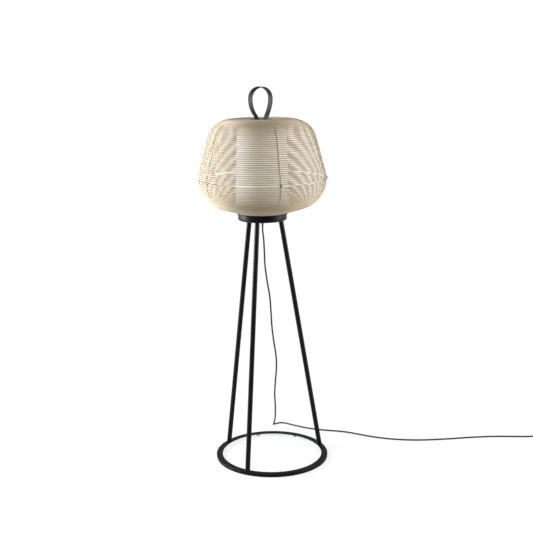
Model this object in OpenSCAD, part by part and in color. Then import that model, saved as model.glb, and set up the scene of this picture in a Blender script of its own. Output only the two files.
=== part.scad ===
// Outdoor floor lamp: a ring base, three slanted tube legs, a shallow collar and a lantern shade.
// The shade is a rib frame wound with cord round an opal diffuser, with a strap loop on its lid.
// The shade and its diffuser lift off the collar as one, which frees the bulb to be unscrewed.

/* [Base ring] */
// Outer radius of the base ring
ring_r = 205.5; // [170:0.5:260]
// Width of the ring's flat band
ring_band = 22.5; // [20:0.5:34]
// Thickness of the ring's sheet
ring_sheet = 3; // [2:0.5:4]
// Height of the ring's skirt, from its lower edge to the top of the band
ring_skirt = 11; // [6.5:0.5:14]
// How far the ring's centre stands to the right of the collar's axis
ring_shift = 26; // [0:1:40]
// How far the pads hold the skirt off the floor
pad_drop = 1; // [0.5:0.25:3]
// Radius of each rubber pad
pad_r = 7; // [4:0.5:8]

/* [Legs] */
// Outer diameter of the leg tubes
leg_d = 17.5; // [14:0.5:20]
// Wall of the leg tubes
leg_wall = 1.5; // [1:0.25:2.5]
// Height of the collar's underside above the floor
stand_h = 889; // [700:1:1100]
// Distance from the collar's edge in to the middle of each leg's upper end
leg_inset = 20.6; // [18:0.2:30]
// Direction of the right leg's upper end, in degrees anticlockwise from the right
leg_turn = 14; // [0:1:40]
// Direction of the right foot, seen from the ring's centre
foot_turn_right = 22; // [5:1:40]
// Direction of the left foot, seen from the ring's centre
foot_turn_left = 147; // [130:1:160]
// Direction of the front foot, seen from the ring's centre
foot_turn_front = 243; // [230:1:260]

/* [Leg fixings] */
// Length of the threaded plug in each end of a leg
plug_l = 18; // [14:1:40]
// Diameter of the leg screws
leg_screw_d = 5; // [4:0.5:6]
// Length of the leg screws under the head
leg_screw_l = 14; // [12:1:20]
// Diameter of the leg screws' heads
leg_head_d = 9; // [7:0.5:10]
// Height of the leg screws' heads
leg_head_h = 3; // [2:0.25:3.25]

/* [Collar] */
// How far the shade's foot stands out past the collar pan
foot_over = 3.4; // [2:0.2:6]
// Height of the collar pan
collar_h = 20; // [19:0.5:40]
// Wall of the collar pan
collar_wall = 2.5; // [1.5:0.5:4]
// Floor of the collar pan
collar_floor = 3; // [2:0.5:4]
// Rounding of the pan's lower outer edge
collar_round = 4; // [1:0.5:6]
// Thickness of the plate that closes the pan
plate_t = 3; // [2:0.5:4]
// Thickness of the rubber gaskets
gasket_t = 1; // [0.5:0.25:2]
// Thickness of the seat plate under the shade
seat_t = 2; // [1.5:0.5:4]
// Width of the seat plate from its rim in to its hole
seat_w = 24; // [22:0.5:28]
// Radius of the screw pillars' circle in the pan
pillar_ring_r = 48; // [44:1:50]
// Radius of each screw pillar
pillar_r = 5; // [3:0.5:6]
// Diameter of the small machine screws
small_screw_d = 3; // [2:0.5:3.5]

/* [Shade] */
// Outer radius of the shade at its widest level
shade_r = 225.5; // [200:0.5:260]
// Height of the shade above its seat plate
shade_h = 329; // [310:1:380]
// Height of the shade's widest level above its seat plate
belly_h = 118; // [105:1:130]
// Rounding of the shade's lower bulge
belly_round = 100; // [80:1:110]
// Rounding of the shade's shoulder
shoulder_round = 85; // [60:1:100]
// Lean of the shade's straight side from upright, in degrees
side_lean = 15; // [8:1:20]
// Slope of the shade's underside from level, in degrees
foot_slope = 17; // [12:1:20]
// Outer radius of the ring round the top mouth
mouth_r = 42; // [40:0.5:60]
// Outer radius of the hoop at the shade's foot
foot_r = 90; // [80:0.5:110]
// Wall of the foot hoop
hoop_wall = 6; // [3:0.5:6]
// Height of the foot hoop
hoop_h = 12; // [8:0.5:14]

/* [Winding] */
// Diameter of the wound cord
cord_d = 4; // [3:0.25:5]
// Rows of cord above the seam
rows_upper = 23; // [12:1:24]
// Rows of cord below the seam
rows_lower = 14; // [8:1:14]
// Height of the seam above the seat plate
seam_h = 123; // [112:1:135]
// Distance between the two rows of cord beside the seam
seam_gap = 16; // [14:0.5:22]

/* [Ribs] */
// Width of each rib of the shade
rib_w = 3; // [2:0.5:5]
// Depth of each rib of the shade
rib_depth = 4; // [3:0.5:6]
// Direction of the first rib, in degrees anticlockwise from the right
rib_turn = 142; // [130:1:150]
// Width of the tie at each rib
tie_w = 7; // [5:0.5:10]
// Height of the tie at each rib
tie_h = 10; // [8:0.5:14]
// How far each tie stands out of the winding
tie_out = 3; // [2:0.5:5]

/* [Diffuser] */
// How far the diffuser's drum stands out past its neck
diffuser_step = 12.5; // [9:0.5:20]
// How much smaller the drum's radius is at its top
diffuser_taper = 9; // [2:0.5:16]
// Height of the diffuser above its gasket
diffuser_h = 299; // [240:1:303]
// Wall of the diffuser
diffuser_wall = 2; // [1.5:0.5:3]
// Height of the diffuser's neck
neck_h = 17; // [16:0.5:24]
// Width of the diffuser's inner flange
flange_w = 12; // [10:0.5:13]

/* [Lid and strap] */
// Thickness of the round lid
lid_t = 2.5; // [1.5:0.5:4]
// How far the lid's top lies below the shade's top
lid_sink = 3; // [2:0.5:4.5]
// Width of the ledge that carries the lid
ledge_w = 5.3; // [4:0.1:6]
// Width of the strap
strap_w = 30; // [20:1:34]
// Thickness of the strap
strap_t = 2.8; // [2:0.2:4]
// Half the distance between the strap's two ends
strap_foot = 17.6; // [14:0.2:22]
// Outward lean of the strap's sides, in degrees
strap_flare = 32; // [15:0.5:35]
// Bend radius of the strap above the lid
strap_root_round = 36; // [30:1:90]
// Bend radius of the strap's sides
strap_side_round = 106; // [60:1:140]
// Turn of the strap loop about the lamp's axis, in degrees
strap_turn = 28; // [0:1:60]
// Depth of the block under the lid that the strap is riveted to
anchor_h = 16; // [12:1:20]
// Diameter of the strap rivets
rivet_d = 4; // [3:0.5:5]

/* [Lampholder] */
// Outer radius of the lampholder
holder_r = 20; // [18:0.5:24]
// Height of the lampholder
holder_h = 37; // [34:0.5:44]
// Solid base of the lampholder
holder_base = 8; // [6:0.5:10]
// Inner radius of the threaded shell
shell_r = 13.6; // [13.4:0.1:13.9]
// Wall of the threaded shell
shell_wall = 0.6; // [0.4:0.1:1]
// Width of the lampholder's foot flange outside its body
holder_flange = 8; // [7:0.5:9]

/* [Bulb] */
// Radius of the bulb's screw cap
bulb_cap_r = 13.15; // [13:0.05:13.3]
// Height of the bulb's screw cap
bulb_cap_h = 24; // [22:0.5:28]
// Radius of the bulb's globe
globe_r = 30; // [25:0.5:48]
// Height of the bulb's housing cone
housing_h = 28; // [20:1:40]
// Height of the straight part of the globe
globe_side_h = 25; // [10:1:40]

/* [Cable] */
// Diameter of the mains cable
cable_d = 6; // [5:0.5:8]
// Length of the strain relief below the collar
relief_l = 23; // [20:1:40]
// Length of the plug's body
plug_body_l = 35; // [30:1:45]
// Width of the plug's body
plug_body_w = 35; // [32:1:38]
// Thickness of the plug's body
plug_body_t = 13.7; // [13:0.1:16]
// Length of the tapered boot behind the plug
boot_l = 26; // [20:1:45]
// Diameter of the plug's pins
pin_d = 4; // [3.9:0.05:4.8]
// Length of the plug's pins
pin_l = 19; // [18:0.5:20]
// Distance between the plug's pins
pin_pitch = 18.6; // [17:0.1:19]

/* [Hidden] */
$fn = 64;
// Clearance between parts that only just miss each other
play = 0.3;
// Radial clearance of a screw or plug in its hole
fit = 0.1;
// Side of the blocks that cut the model
big = 3000;
// Rings of the wound cord in one turn: every fourth one lies on a rib
turn_rings = 20;
rib_count = 5;
rib_step = 360 / rib_count;

// Heights of the stack, from the floor up
base_top = pad_drop + ring_skirt;
pan_floor = stand_h + collar_floor;
collar_top = stand_h + collar_h;
plate_z = collar_top - plate_t;
seat_z = collar_top + gasket_t;
shade_z = seat_z + seat_t;
shade_top = shade_z + shade_h;
diffuser_z = shade_z + gasket_t;
lid_top = shade_top - lid_sink;
lid_z = lid_top - lid_t;

// The object's box is centred on the origin, so the collar's axis stands a little beside it
box_right = max(shade_r, ring_shift + ring_r);
box_left = max(shade_r, ring_r - ring_shift);
axis_x = (box_left - box_right) / 2;
ring_x = axis_x + ring_shift;
ring_mid = ring_r - ring_band / 2;
foot_turns = [foot_turn_right, foot_turn_left, foot_turn_front];

// Radii of the collar and the shade's foot
collar_r = foot_r - foot_over;
leg_top_r = collar_r - leg_inset;
seat_hole_r = foot_r - seat_w;
pan_in_r = collar_r - collar_wall;
plate_r = pan_in_r - play;
hoop_in_r = foot_r - hoop_wall;
neck_r = hoop_in_r - 1.5;
flange_r = neck_r - flange_w;
diffuser_low_r = neck_r + diffuser_step;
diffuser_top_r = diffuser_low_r - diffuser_taper;
gasket_r = collar_r - 0.6;
small_head_d = small_screw_d * 1.85;
small_head_h = small_screw_d * 0.6;

function unit(v) = v / norm(v);
function arc(c, r, a0, a1, n) =
    [for (i = [0:n]) let (a = a0 + (a1 - a0) * i / n) [c.x + r * cos(a), c.y + r * sin(a)]];

// Feet on the ring and upper ends under the collar, one of each a leg
function foot_point(i) =
    [ring_x + ring_mid * cos(foot_turns[i]), ring_mid * sin(foot_turns[i]), base_top];
function top_point(i) =
    [axis_x + leg_top_r * cos(leg_turn + 120 * i), leg_top_r * sin(leg_turn + 120 * i), stand_h];

// Outer outline of the shade from the mouth to the foot, as radius and height
belly_c = [shade_r - belly_round, shade_z + belly_h];
shoulder_z = shade_top - shoulder_round;
side_reach = belly_c.x * cos(side_lean) + belly_c.y * sin(side_lean) + belly_round;
shoulder_x = (side_reach - shoulder_round - shoulder_z * sin(side_lean)) / cos(side_lean);
belly_end = arc(belly_c, belly_round, foot_slope - 90, foot_slope - 90, 1)[0];
outline = concat(
    [[mouth_r, shade_top]],
    arc([shoulder_x, shoulder_z], shoulder_round, 90, side_lean, 12),
    arc(belly_c, belly_round, side_lean, foot_slope - 90, 16),
    [[foot_r, belly_end.y - (belly_end.x - foot_r) * tan(foot_slope)]]
);
outline_last = len(outline) - 1;
outline_s = [for (i = 0, s = 0; i <= outline_last;
    s = s + (i < outline_last ? norm(outline[i + 1] - outline[i]) : 0), i = i + 1) s];
outline_len = outline_s[outline_last];

// Inward normal at each point of the outline
function outline_n(i) =
    let (a = outline[max(i - 1, 0)], b = outline[min(i + 1, outline_last)], d = unit(b - a))
    [d.y, -d.x];

// The point at a length along the outline, at a depth below the outer surface
function skin(s, depth) =
    let (
        t = min(max(s, 0), outline_len - 0.001),
        i = max([for (k = [0:outline_last - 1]) if (outline_s[k] <= t) k]),
        f = (t - outline_s[i]) / (outline_s[i + 1] - outline_s[i]),
        n = unit(outline_n(i) * (1 - f) + outline_n(i + 1) * f)
    )
    outline[i] * (1 - f) + outline[i + 1] * f + n * depth;

// Length along the outline at which it comes down to the seam
seam_z = shade_z + seam_h;
seam_s = [for (i = [0:outline_last - 1]) let (a = outline[i].y, b = outline[i + 1].y)
    if (a >= seam_z && b < seam_z)
        outline_s[i] + (a - seam_z) / (a - b) * (outline_s[i + 1] - outline_s[i])][0];

// Rows of cord: the first clears the mouth ring and the last clears the foot hoop
chord_fit = 1 / cos(180 / turn_rings);
row_first = (mouth_r + cord_d / 2 + play) * chord_fit - mouth_r;
foot_reach = (foot_r + cord_d / 2 + play) * chord_fit + cord_d / 2 * sin(foot_slope);
row_last = outline_len - (foot_reach - foot_r) / cos(foot_slope);
pitch_upper = (seam_s - seam_gap / 2 - row_first) / (rows_upper - 1);
pitch_lower = (row_last - seam_s - seam_gap / 2) / (rows_lower - 1);
rib_gap = 0.5;
rib_out = cord_d + rib_gap;
rib_in = rib_out + rib_depth;

// Each row lies level past the ribs and steps down behind, in the bay from the last rib to the first
level_rings = turn_rings * (rib_count - 1) / rib_count;
function step_down(k) =
    let (f = max(0, (k - level_rings) / (turn_rings - level_rings))) f * f * (3 - 2 * f);
function row_s(k, first, pitch) =
    first + pitch * (floor(k / turn_rings) + step_down(k % turn_rings));
function row_centre(k, first, pitch) =
    let (p = skin(row_s(k, first, pitch), cord_d / 2), a = rib_turn + 360 * k / turn_rings)
    [p.x * cos(a), p.x * sin(a), p.y];
function row_count(rows) = (rows - 1) * turn_rings + level_rings;
function wound_path(first, pitch, rows) =
    [for (k = [0:row_count(rows)]) row_centre(k, first, pitch)];
function least_gap(path) =
    min([for (k = [0:len(path) - turn_rings - 1]) norm(path[k + turn_rings] - path[k])]) - cord_d;
upper_path = wound_path(row_first, pitch_upper, rows_upper);
lower_path = wound_path(seam_s + seam_gap / 2, pitch_lower, rows_lower);
echo(str("least gap in the upper winding ", least_gap(upper_path), " mm"));
echo(str("least gap in the lower winding ", least_gap(lower_path), " mm"));

// The strap's middle line from its right foot over the top to its left foot, as offset and height
strap_low = lid_z - anchor_h;
root_end = [strap_foot + strap_root_round * (1 - cos(strap_flare)),
    lid_z + strap_root_round * sin(strap_flare)];
strap_side = root_end.x + strap_side_round * (1 - cos(strap_flare));
strap_mid_z = root_end.y + strap_side_round * sin(strap_flare);
strap_half = concat(
    [[strap_foot, strap_low]],
    arc([strap_foot + strap_root_round, lid_z], strap_root_round, 180, 180 - strap_flare, 5),
    arc([strap_side - strap_side_round, strap_mid_z], strap_side_round, -strap_flare * 5 / 6, 0, 5),
    arc([0, strap_mid_z], strap_side, 10, 90, 8)
);
strap_line = concat(strap_half,
    [for (i = [len(strap_half) - 2:-1:0]) [-strap_half[i].x, strap_half[i].y]]);

// Height marks of the lampholder and bulb
contact_h = 3;
bulb_z = collar_top + holder_base + contact_h;
bulb_tip_h = 3;
cap_z = bulb_z + bulb_tip_h;
housing_z = cap_z + bulb_cap_h;
globe_z = housing_z + housing_h;
globe_wall = 1.5;

// Route of the free cable from the strain relief to the plug, from the collar's axis at the floor
relief_z = stand_h - relief_l;
plug_mid_z = plug_body_t / 2;
cable_route = [
    [0, 0, 866], [0, 1, 848], [3, 3, 820], [5, 6, 780], [7, 12, 720], [14, 20, 660], [23, 30, 600],
    [27, 43, 540], [30, 58, 480], [36, 76, 420], [44, 97, 360], [46, 120, 300], [42, 146, 240],
    [39, 175, 180], [41, 206, 120], [41, 232, 72], [39, 252, 40], [35, 271, 18], [34, 288, 7],
    [42, 304, 3.5], [58, 313, 3.1], [76, 312, 3.1], [93, 302, 3.1], [114, 287, 3.1],
    [138, 271, 3.1], [178, 249, 3.1], [225, 232, 3.1], [295, 215, 3.1], [333, 201, 3.1],
    [363, 184, 3.1], [430, 150, 3.1], [510, 126, 3.1], [600, 118, 3.1], [700, 126, 3.1],
    [800, 140, 3.1], [890, 146, 3.1], [970, 143, 3.1], [1020, 140, 4], [1050, 140, 6.85],
];
cable_sides = 8;
cable_steps = 2;
route_last = len(cable_route) - 1;
cable_end = cable_route[route_last];

// The hanging part of the route stretches with the stand's height; the part near the floor stays
hang_low = 72;
hang_stretch = (relief_z - hang_low) / (cable_route[0].z - hang_low);
hung_route = [for (p = cable_route)
    p.z > hang_low ? [p.x, p.y, hang_low + (p.z - hang_low) * hang_stretch] : p];

// A smooth curve through the route's points
function on_route(i, t) =
    let (
        a = hung_route[max(i - 1, 0)],
        b = hung_route[i],
        c = hung_route[min(i + 1, route_last)],
        d = hung_route[min(i + 2, route_last)]
    )
    (2 * b + (c - a) * t + (2 * a - 5 * b + 4 * c - d) * t * t + (3 * b - a - 3 * c + d) * t * t * t) / 2;
cable_path = concat(
    [for (i = [0:route_last - 1]) for (j = [0:cable_steps - 1]) on_route(i, j / cable_steps)],
    [cable_end]
);

// Rings of points round a path: each ring's frame is carried along from the one before
function path_tangents(path, first, last) =
    [for (i = [0:len(path) - 1])
        i == 0 ? first : i == len(path) - 1 ? last : unit(path[i + 1] - path[i - 1])];
function carried(n, t) = unit(n - (n * t) * t);
function path_normals(t, n0) =
    [for (i = 0, n = carried(n0, t[0]); i < len(t);
        i = i + 1, n = i < len(t) ? carried(n, t[i]) : n) n];
function ring_points(path, t, n, r, sides) =
    [for (i = [0:len(path) - 1]) let (b = cross(t[i], n[i])) for (j = [0:sides - 1])
        path[i] + r * (cos(360 * j / sides) * n[i] + sin(360 * j / sides) * b)];
function tube_faces(rings, sides) = concat(
    [[for (j = [0:sides - 1]) j]],
    [for (i = [0:rings - 2]) for (j = [0:sides - 1])
        let (a = i * sides + j, b = i * sides + (j + 1) % sides) [a, a + sides, b]],
    [for (i = [0:rings - 2]) for (j = [0:sides - 1])
        let (a = i * sides + j, b = i * sides + (j + 1) % sides) [b, a + sides, b + sides]],
    [[for (j = [sides - 1:-1:0]) (rings - 1) * sides + j]]
);

// Shared shapes

module on_axis() {
    translate([axis_x, 0, 0]) children();
}

module tube_along(path, first, last, n0, r, sides) {
    t = path_tangents(path, first, last);
    n = path_normals(t, n0);
    polyhedron(ring_points(path, t, n, r, sides), tube_faces(len(path), sides));
}

// A flat ring between two radii
module washer(outer, inner, h) {
    difference() {
        cylinder(r = outer, h = h);
        translate([0, 0, -1]) cylinder(r = inner, h = h + 2);
    }
}

module slab(z0, z1) {
    translate([-big / 2, -big / 2, z0]) cube([big, big, z1 - z0]);
}

// A block round a point that cuts a leg's end level
module cut_block(point, z0, z1) {
    translate([point.x - 2 * leg_d, point.y - 2 * leg_d, z0]) cube([4 * leg_d, 4 * leg_d, z1 - z0]);
}

// A round bar on a leg's axis, longer than the leg at both ends; its own turn keeps the bar's
// lengthwise edge away from the ends of the level cuts
bar_turn = 37;

module leg_bar(i, r, spare) {
    v = top_point(i) - foot_point(i);
    translate(foot_point(i))
        rotate([0, acos(v.z / norm(v)), atan2(v.y, v.x)])
            rotate([0, 0, bar_turn]) translate([0, 0, -spare]) cylinder(r = r, h = norm(v) + 2 * spare);
}

// A screw with its head standing on the plane z = 0 and its shank below
module pan_screw(d, l, head_d, head_h) {
    translate([0, 0, -l]) cylinder(d = d, h = l);
    cylinder(d = head_d, h = head_h);
}

module small_screw(l) {
    pan_screw(small_screw_d, l, small_head_d, small_head_h);
}

module small_hole(h) {
    translate([0, 0, -1]) cylinder(d = small_screw_d + 2 * fit, h = h + 2);
}

// Three copies round the collar's axis
module three_round(r, turn) {
    for (i = [0:2]) rotate([0, 0, turn + 120 * i]) translate([r, 0, 0]) children();
}

// A solid turned about the collar's axis from an outline of radius and height
module turned(points) {
    on_axis() rotate_extrude() polygon(points);
}

// Base and legs

module base_ring() {
    color("#1c1c1e") translate([ring_x, 0, 0]) difference() {
        rotate_extrude() polygon([
            [ring_r - ring_band, base_top - ring_sheet], [ring_r - ring_sheet, base_top - ring_sheet],
            [ring_r - ring_sheet, pad_drop], [ring_r, pad_drop],
            [ring_r, base_top], [ring_r - ring_band, base_top]
        ]);
        for (a = foot_turns) rotate([0, 0, a]) translate([ring_mid, 0, -1])
            cylinder(d = leg_screw_d + 2 * fit, h = base_top + 2);
    }
}

// Two pads stand between each pair of feet
module base_pads() {
    color("#101010") translate([ring_x, 0, 0]) for (i = [0:2]) {
        gap = (foot_turns[(i + 1) % 3] - foot_turns[i] + 360) % 360;
        for (f = [1 / 3, 2 / 3]) rotate([0, 0, foot_turns[i] + gap * f])
            translate([ring_r - ring_sheet - pad_r - play, 0, 0])
                cylinder(r = pad_r, h = base_top - ring_sheet);
    }
}

module leg(i) {
    color("#1c1c1e") difference() {
        leg_bar(i, leg_d / 2, leg_d);
        leg_bar(i, leg_d / 2 - leg_wall, 2 * leg_d);
        cut_block(foot_point(i), base_top - 3 * leg_d, base_top);
        cut_block(top_point(i), stand_h, stand_h + 3 * leg_d);
    }
}

module leg_plug(i, point, z0) {
    difference() {
        leg_bar(i, leg_d / 2 - leg_wall - fit, leg_d);
        slab(-big, z0);
        slab(z0 + plug_l, big);
        translate([point.x, point.y, z0 - 1]) cylinder(d = leg_screw_d + fit, h = plug_l + 2);
    }
}

module leg_plugs_lower() {
    color("#8a8a8a") for (i = [0:2]) leg_plug(i, foot_point(i), base_top);
}

module leg_plugs_upper() {
    color("#8a8a8a") for (i = [0:2]) leg_plug(i, top_point(i), stand_h - plug_l);
}

module leg_screws_lower() {
    color("#9a9a9a") for (i = [0:2]) translate([foot_point(i).x, foot_point(i).y, base_top - ring_sheet])
        mirror([0, 0, 1]) pan_screw(leg_screw_d, leg_screw_l, leg_head_d, leg_head_h);
}

module leg_screws_upper() {
    color("#9a9a9a") for (i = [0:2]) translate([top_point(i).x, top_point(i).y, pan_floor])
        pan_screw(leg_screw_d, leg_screw_l, leg_head_d, leg_head_h);
}

// Collar

relief_neck_r = cable_d / 2 + 2.5;
nut_h = 4;

module collar_pan() {
    color("#1c1c1e") difference() {
        turned(concat(
            [[0, stand_h]],
            arc([collar_r - collar_round, stand_h + collar_round], collar_round, -90, 0, 6),
            [[collar_r, collar_top], [pan_in_r, collar_top], [pan_in_r, pan_floor], [0, pan_floor]]
        ));
        for (i = [0:2]) translate([top_point(i).x, top_point(i).y, stand_h - 1])
            cylinder(d = leg_screw_d + 2 * fit, h = collar_floor + 2);
        translate([axis_x, 0, stand_h - 1]) cylinder(r = relief_neck_r + fit, h = collar_floor + 2);
    }
}

pillar_turn = leg_turn + 60;

module plate_pillars() {
    color("#b0b0b0") on_axis() three_round(pillar_ring_r, pillar_turn) difference() {
        translate([0, 0, pan_floor]) cylinder(r = pillar_r, h = plate_z - pan_floor);
        translate([0, 0, pan_floor + 2]) cylinder(d = small_screw_d + fit, h = plate_z - pan_floor);
    }
}

wire_hole_r = 10;
holder_screw_r = holder_r + holder_flange / 2;

module mounting_plate() {
    color("#c8c8c8") on_axis() translate([0, 0, plate_z]) difference() {
        cylinder(r = plate_r, h = plate_t);
        translate([0, 0, -1]) cylinder(r = wire_hole_r, h = plate_t + 2);
        three_round(pillar_ring_r, pillar_turn) small_hole(plate_t);
        for (a = [90, 270]) rotate([0, 0, a]) translate([holder_screw_r, 0, 0]) small_hole(plate_t);
    }
}

module plate_screws() {
    color("#b8b8b8") on_axis() translate([0, 0, collar_top])
        three_round(pillar_ring_r, pillar_turn) small_screw(plate_t + 8);
}

module collar_gasket() {
    color("#161616") on_axis() translate([0, 0, collar_top]) washer(gasket_r, seat_hole_r + 6, gasket_t);
}

catch_t = 1.2;
catch_w = 10;

// Sprung tongues that grip the hole of the seat plate
module spring_catches() {
    top_reach = sqrt(pow(seat_hole_r - play, 2) - pow(catch_w / 2, 2));
    color("#d0d0d0") on_axis() translate([0, 0, collar_top]) three_round(0, leg_turn) {
        translate([top_reach - catch_w, -catch_w / 2, 0]) cube([catch_w, catch_w, catch_t]);
        translate([top_reach - catch_t, -catch_w / 2, 0]) cube([catch_t, catch_w, gasket_t + seat_t + 3]);
    }
}

block_l = 26;
block_w = 16;
block_h = 11;
block_x = -16 - block_l;
way_y = 4;

module terminal_block() {
    color("#e8e6dc") on_axis() difference() {
        translate([block_x, -block_w / 2, pan_floor]) cube([block_l, block_w, block_h]);
        for (x = [6, block_l - 6], y = [-way_y, way_y])
            translate([block_x + x, y, pan_floor + 3]) cylinder(r = 2, h = block_h);
    }
}

module terminal_screws() {
    color("#c0a860") on_axis() for (x = [6, block_l - 6], y = [-way_y, way_y])
        translate([block_x + x, y, pan_floor + 3]) cylinder(r = 2 - fit, h = block_h - 4);
}

// The tapered relief hangs below the pan and its neck passes the pan's floor
module strain_relief() {
    color("#141414") turned([
        [cable_d / 2 + fit, relief_z], [cable_d / 2 + 0.6, relief_z],
        [cable_d / 2 + 1.4, stand_h - 5], [relief_neck_r + 1, stand_h - 3], [relief_neck_r + 1, stand_h],
        [relief_neck_r, stand_h], [relief_neck_r, pan_floor + nut_h + 1],
        [cable_d / 2 + fit, pan_floor + nut_h + 1]
    ]);
}

module gland_nut() {
    color("#141414") on_axis() translate([0, 0, pan_floor]) difference() {
        cylinder(r = relief_neck_r + 4, h = nut_h, $fn = 6);
        translate([0, 0, -1]) cylinder(r = relief_neck_r + fit, h = nut_h + 2, $fn = 64);
    }
}

lead_top = pan_floor + nut_h + 4;

// The sheathed cable from the relief's mouth to where it is stripped in the pan
module inner_lead() {
    color("#141414") on_axis() translate([0, 0, relief_z]) cylinder(d = cable_d, h = lead_top - relief_z);
}

wire_r = 1.1;

module wire(points, first, last) {
    on_axis() tube_along(points, first, last, [0, 1, 0], wire_r, 8);
}

// Two cores from the stripped end to the near side of the terminal block
module supply_wires() {
    entry_x = block_x + block_l;
    core_y = wire_r + 0.2;
    color("#3a5a9a") for (s = [-1, 1]) wire([
        [-0.5, s * core_y, lead_top], [-0.8, s * core_y, lead_top + 1],
        [-3, s * (core_y + 0.3), lead_top + 1.8], [-8, s * 2.6, lead_top + 0.4],
        [-12, s * way_y, pan_floor + 5.4], [entry_x, s * way_y, pan_floor + 5]
    ], [0, 0, 1], [-1, 0, 0]);
}

// Two cores from the far side of the block, over it and up through the plate
module lamp_wires() {
    over = plate_z - wire_r - play;
    color("#8a5a30") for (s = [-1, 1]) wire([
        [block_x, s * way_y, pan_floor + 5], [block_x - 4, s * way_y, pan_floor + 5.6],
        [block_x - 6, s * way_y, (pan_floor + over) / 2 + 2], [block_x - 3, s * way_y, over - 0.6],
        [block_x + 3, s * way_y, over], [block_x + 20, s * way_y, over], [-9, s * way_y, over],
        [-5.5, s * way_y, over + 1], [-4, s * way_y, over + 2.4], [-3.6, s * way_y, collar_top]
    ], [-1, 0, 0], [0, 0, 1]);
}

// Lampholder and bulb

module lampholder_body() {
    color("#202020") on_axis() difference() {
        translate([0, 0, collar_top]) union() {
            cylinder(r = holder_r, h = holder_h);
            cylinder(r = holder_r + holder_flange, h = 3);
        }
        translate([0, 0, collar_top + holder_base]) cylinder(r = shell_r + shell_wall + fit, h = holder_h);
        for (a = [90, 270]) rotate([0, 0, a]) translate([holder_screw_r, 0, collar_top]) small_hole(3);
    }
}

module lampholder_shell() {
    color("#c9a24a") on_axis() translate([0, 0, collar_top + holder_base])
        washer(shell_r + shell_wall, shell_r, holder_h - holder_base - 1);
}

module centre_contact() {
    color("#c9a24a") on_axis() translate([0, 0, collar_top + holder_base]) cylinder(r = 4, h = contact_h);
}

module lampholder_screws() {
    color("#b8b8b8") on_axis() for (a = [90, 270]) rotate([0, 0, a])
        translate([holder_screw_r, 0, collar_top + 3]) small_screw(3 + plate_t + 2);
}

module bulb_contact() {
    color("#303030") turned([
        [0, bulb_z], [4, bulb_z], [bulb_cap_r - 4, bulb_z + bulb_tip_h], [0, bulb_z + bulb_tip_h]
    ]);
}

// The cap's rounded thread is a row of shallow grooves
module bulb_cap() {
    thread_pitch = 3.62;
    groove = 0.9;
    threads = floor((bulb_cap_h - 4) / thread_pitch);
    color("#c4c4c8") turned(concat(
        [[0, cap_z], [bulb_cap_r - 1.5, cap_z], [bulb_cap_r - 0.5, cap_z + 1]],
        [for (i = [0:threads - 1]) for (f = [0, 0.5])
            [bulb_cap_r - (f == 0 ? 0 : groove), cap_z + 1.5 + (i + f) * thread_pitch]],
        [[bulb_cap_r, housing_z - 2], [bulb_cap_r, housing_z], [0, housing_z]]
    ));
}

module bulb_housing() {
    color("#f2f2ee") turned([
        [0, housing_z], [bulb_cap_r + 0.8, housing_z], [bulb_cap_r + 2, housing_z + 4],
        [globe_r - 3, globe_z - 5], [globe_r - 0.8, globe_z], [0, globe_z]
    ]);
}

module bulb_globe() {
    side_top = globe_z + globe_side_h;
    color("#fbfaf4") turned(concat(
        [[globe_r - 0.8, globe_z], [globe_r, globe_z + 8]],
        arc([0, side_top], globe_r, 0, 90, 10),
        arc([0, side_top], globe_r - globe_wall, 90, 0, 10),
        [[globe_r - globe_wall, globe_z + 8], [globe_r - 0.8 - globe_wall, globe_z]]
    ));
}

// Shade frame

flange_screw_r = neck_r - flange_w / 2 - 1.5;

// The drum's outline at a depth below its outer face, from the foot of the neck to the top's centre
drum_round = 8;
cap_round = 14;
function drum(depth) =
    let (zs = diffuser_z + neck_h, zt = diffuser_z + diffuser_h)
    concat(
        [[neck_r - depth, zs + depth]],
        arc([diffuser_low_r - drum_round, zs + drum_round], drum_round - depth, -90, 0, 5),
        arc([diffuser_top_r - cap_round, zt - cap_round], cap_round - depth, 0, 90, 6),
        [[0, zt - depth]]
    );

module diffuser() {
    inner = drum(diffuser_wall);
    color("#e9e4d8") difference() {
        turned(concat(
            [[neck_r, diffuser_z]],
            drum(0),
            [for (i = [len(inner) - 1:-1:0]) inner[i]],
            [[neck_r - diffuser_wall, diffuser_z + 2.5], [flange_r, diffuser_z + 2.5], [flange_r, diffuser_z]]
        ));
        on_axis() translate([0, 0, diffuser_z]) three_round(flange_screw_r, leg_turn) small_hole(3);
    }
}

module diffuser_gasket() {
    color("#161616") on_axis() translate([0, 0, shade_z]) difference() {
        washer(neck_r, flange_r, gasket_t);
        three_round(flange_screw_r, leg_turn) small_hole(gasket_t);
    }
}

module diffuser_screws() {
    color("#b8b8b8") on_axis() translate([0, 0, diffuser_z + 2.5])
        three_round(flange_screw_r, leg_turn) small_screw(2.5 + gasket_t + seat_t - play);
}

module seat_plate() {
    color("#1c1c1e") on_axis() translate([0, 0, seat_z]) difference() {
        washer(foot_r, seat_hole_r, seat_t);
        three_round(flange_screw_r, leg_turn) small_hole(seat_t);
    }
}

module foot_hoop() {
    color("#1c1c1e") on_axis() translate([0, 0, shade_z]) washer(foot_r, hoop_in_r, hoop_h);
}

lid_r = mouth_r - 4;
ring_low = shade_top - rib_in - 1;

// The mouth ring has a ledge inside that carries the lid
module mouth_ring() {
    color("#1c1c1e") difference() {
        turned([
            [lid_r - ledge_w, ring_low], [mouth_r, ring_low], [mouth_r, shade_top - 1],
            [lid_r + play, shade_top - 1], [lid_r + play, lid_z], [lid_r - ledge_w, lid_z]
        ]);
        on_axis() translate([0, 0, ring_low]) lid_screw_places() small_hole(lid_z - ring_low);
    }
}

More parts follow.
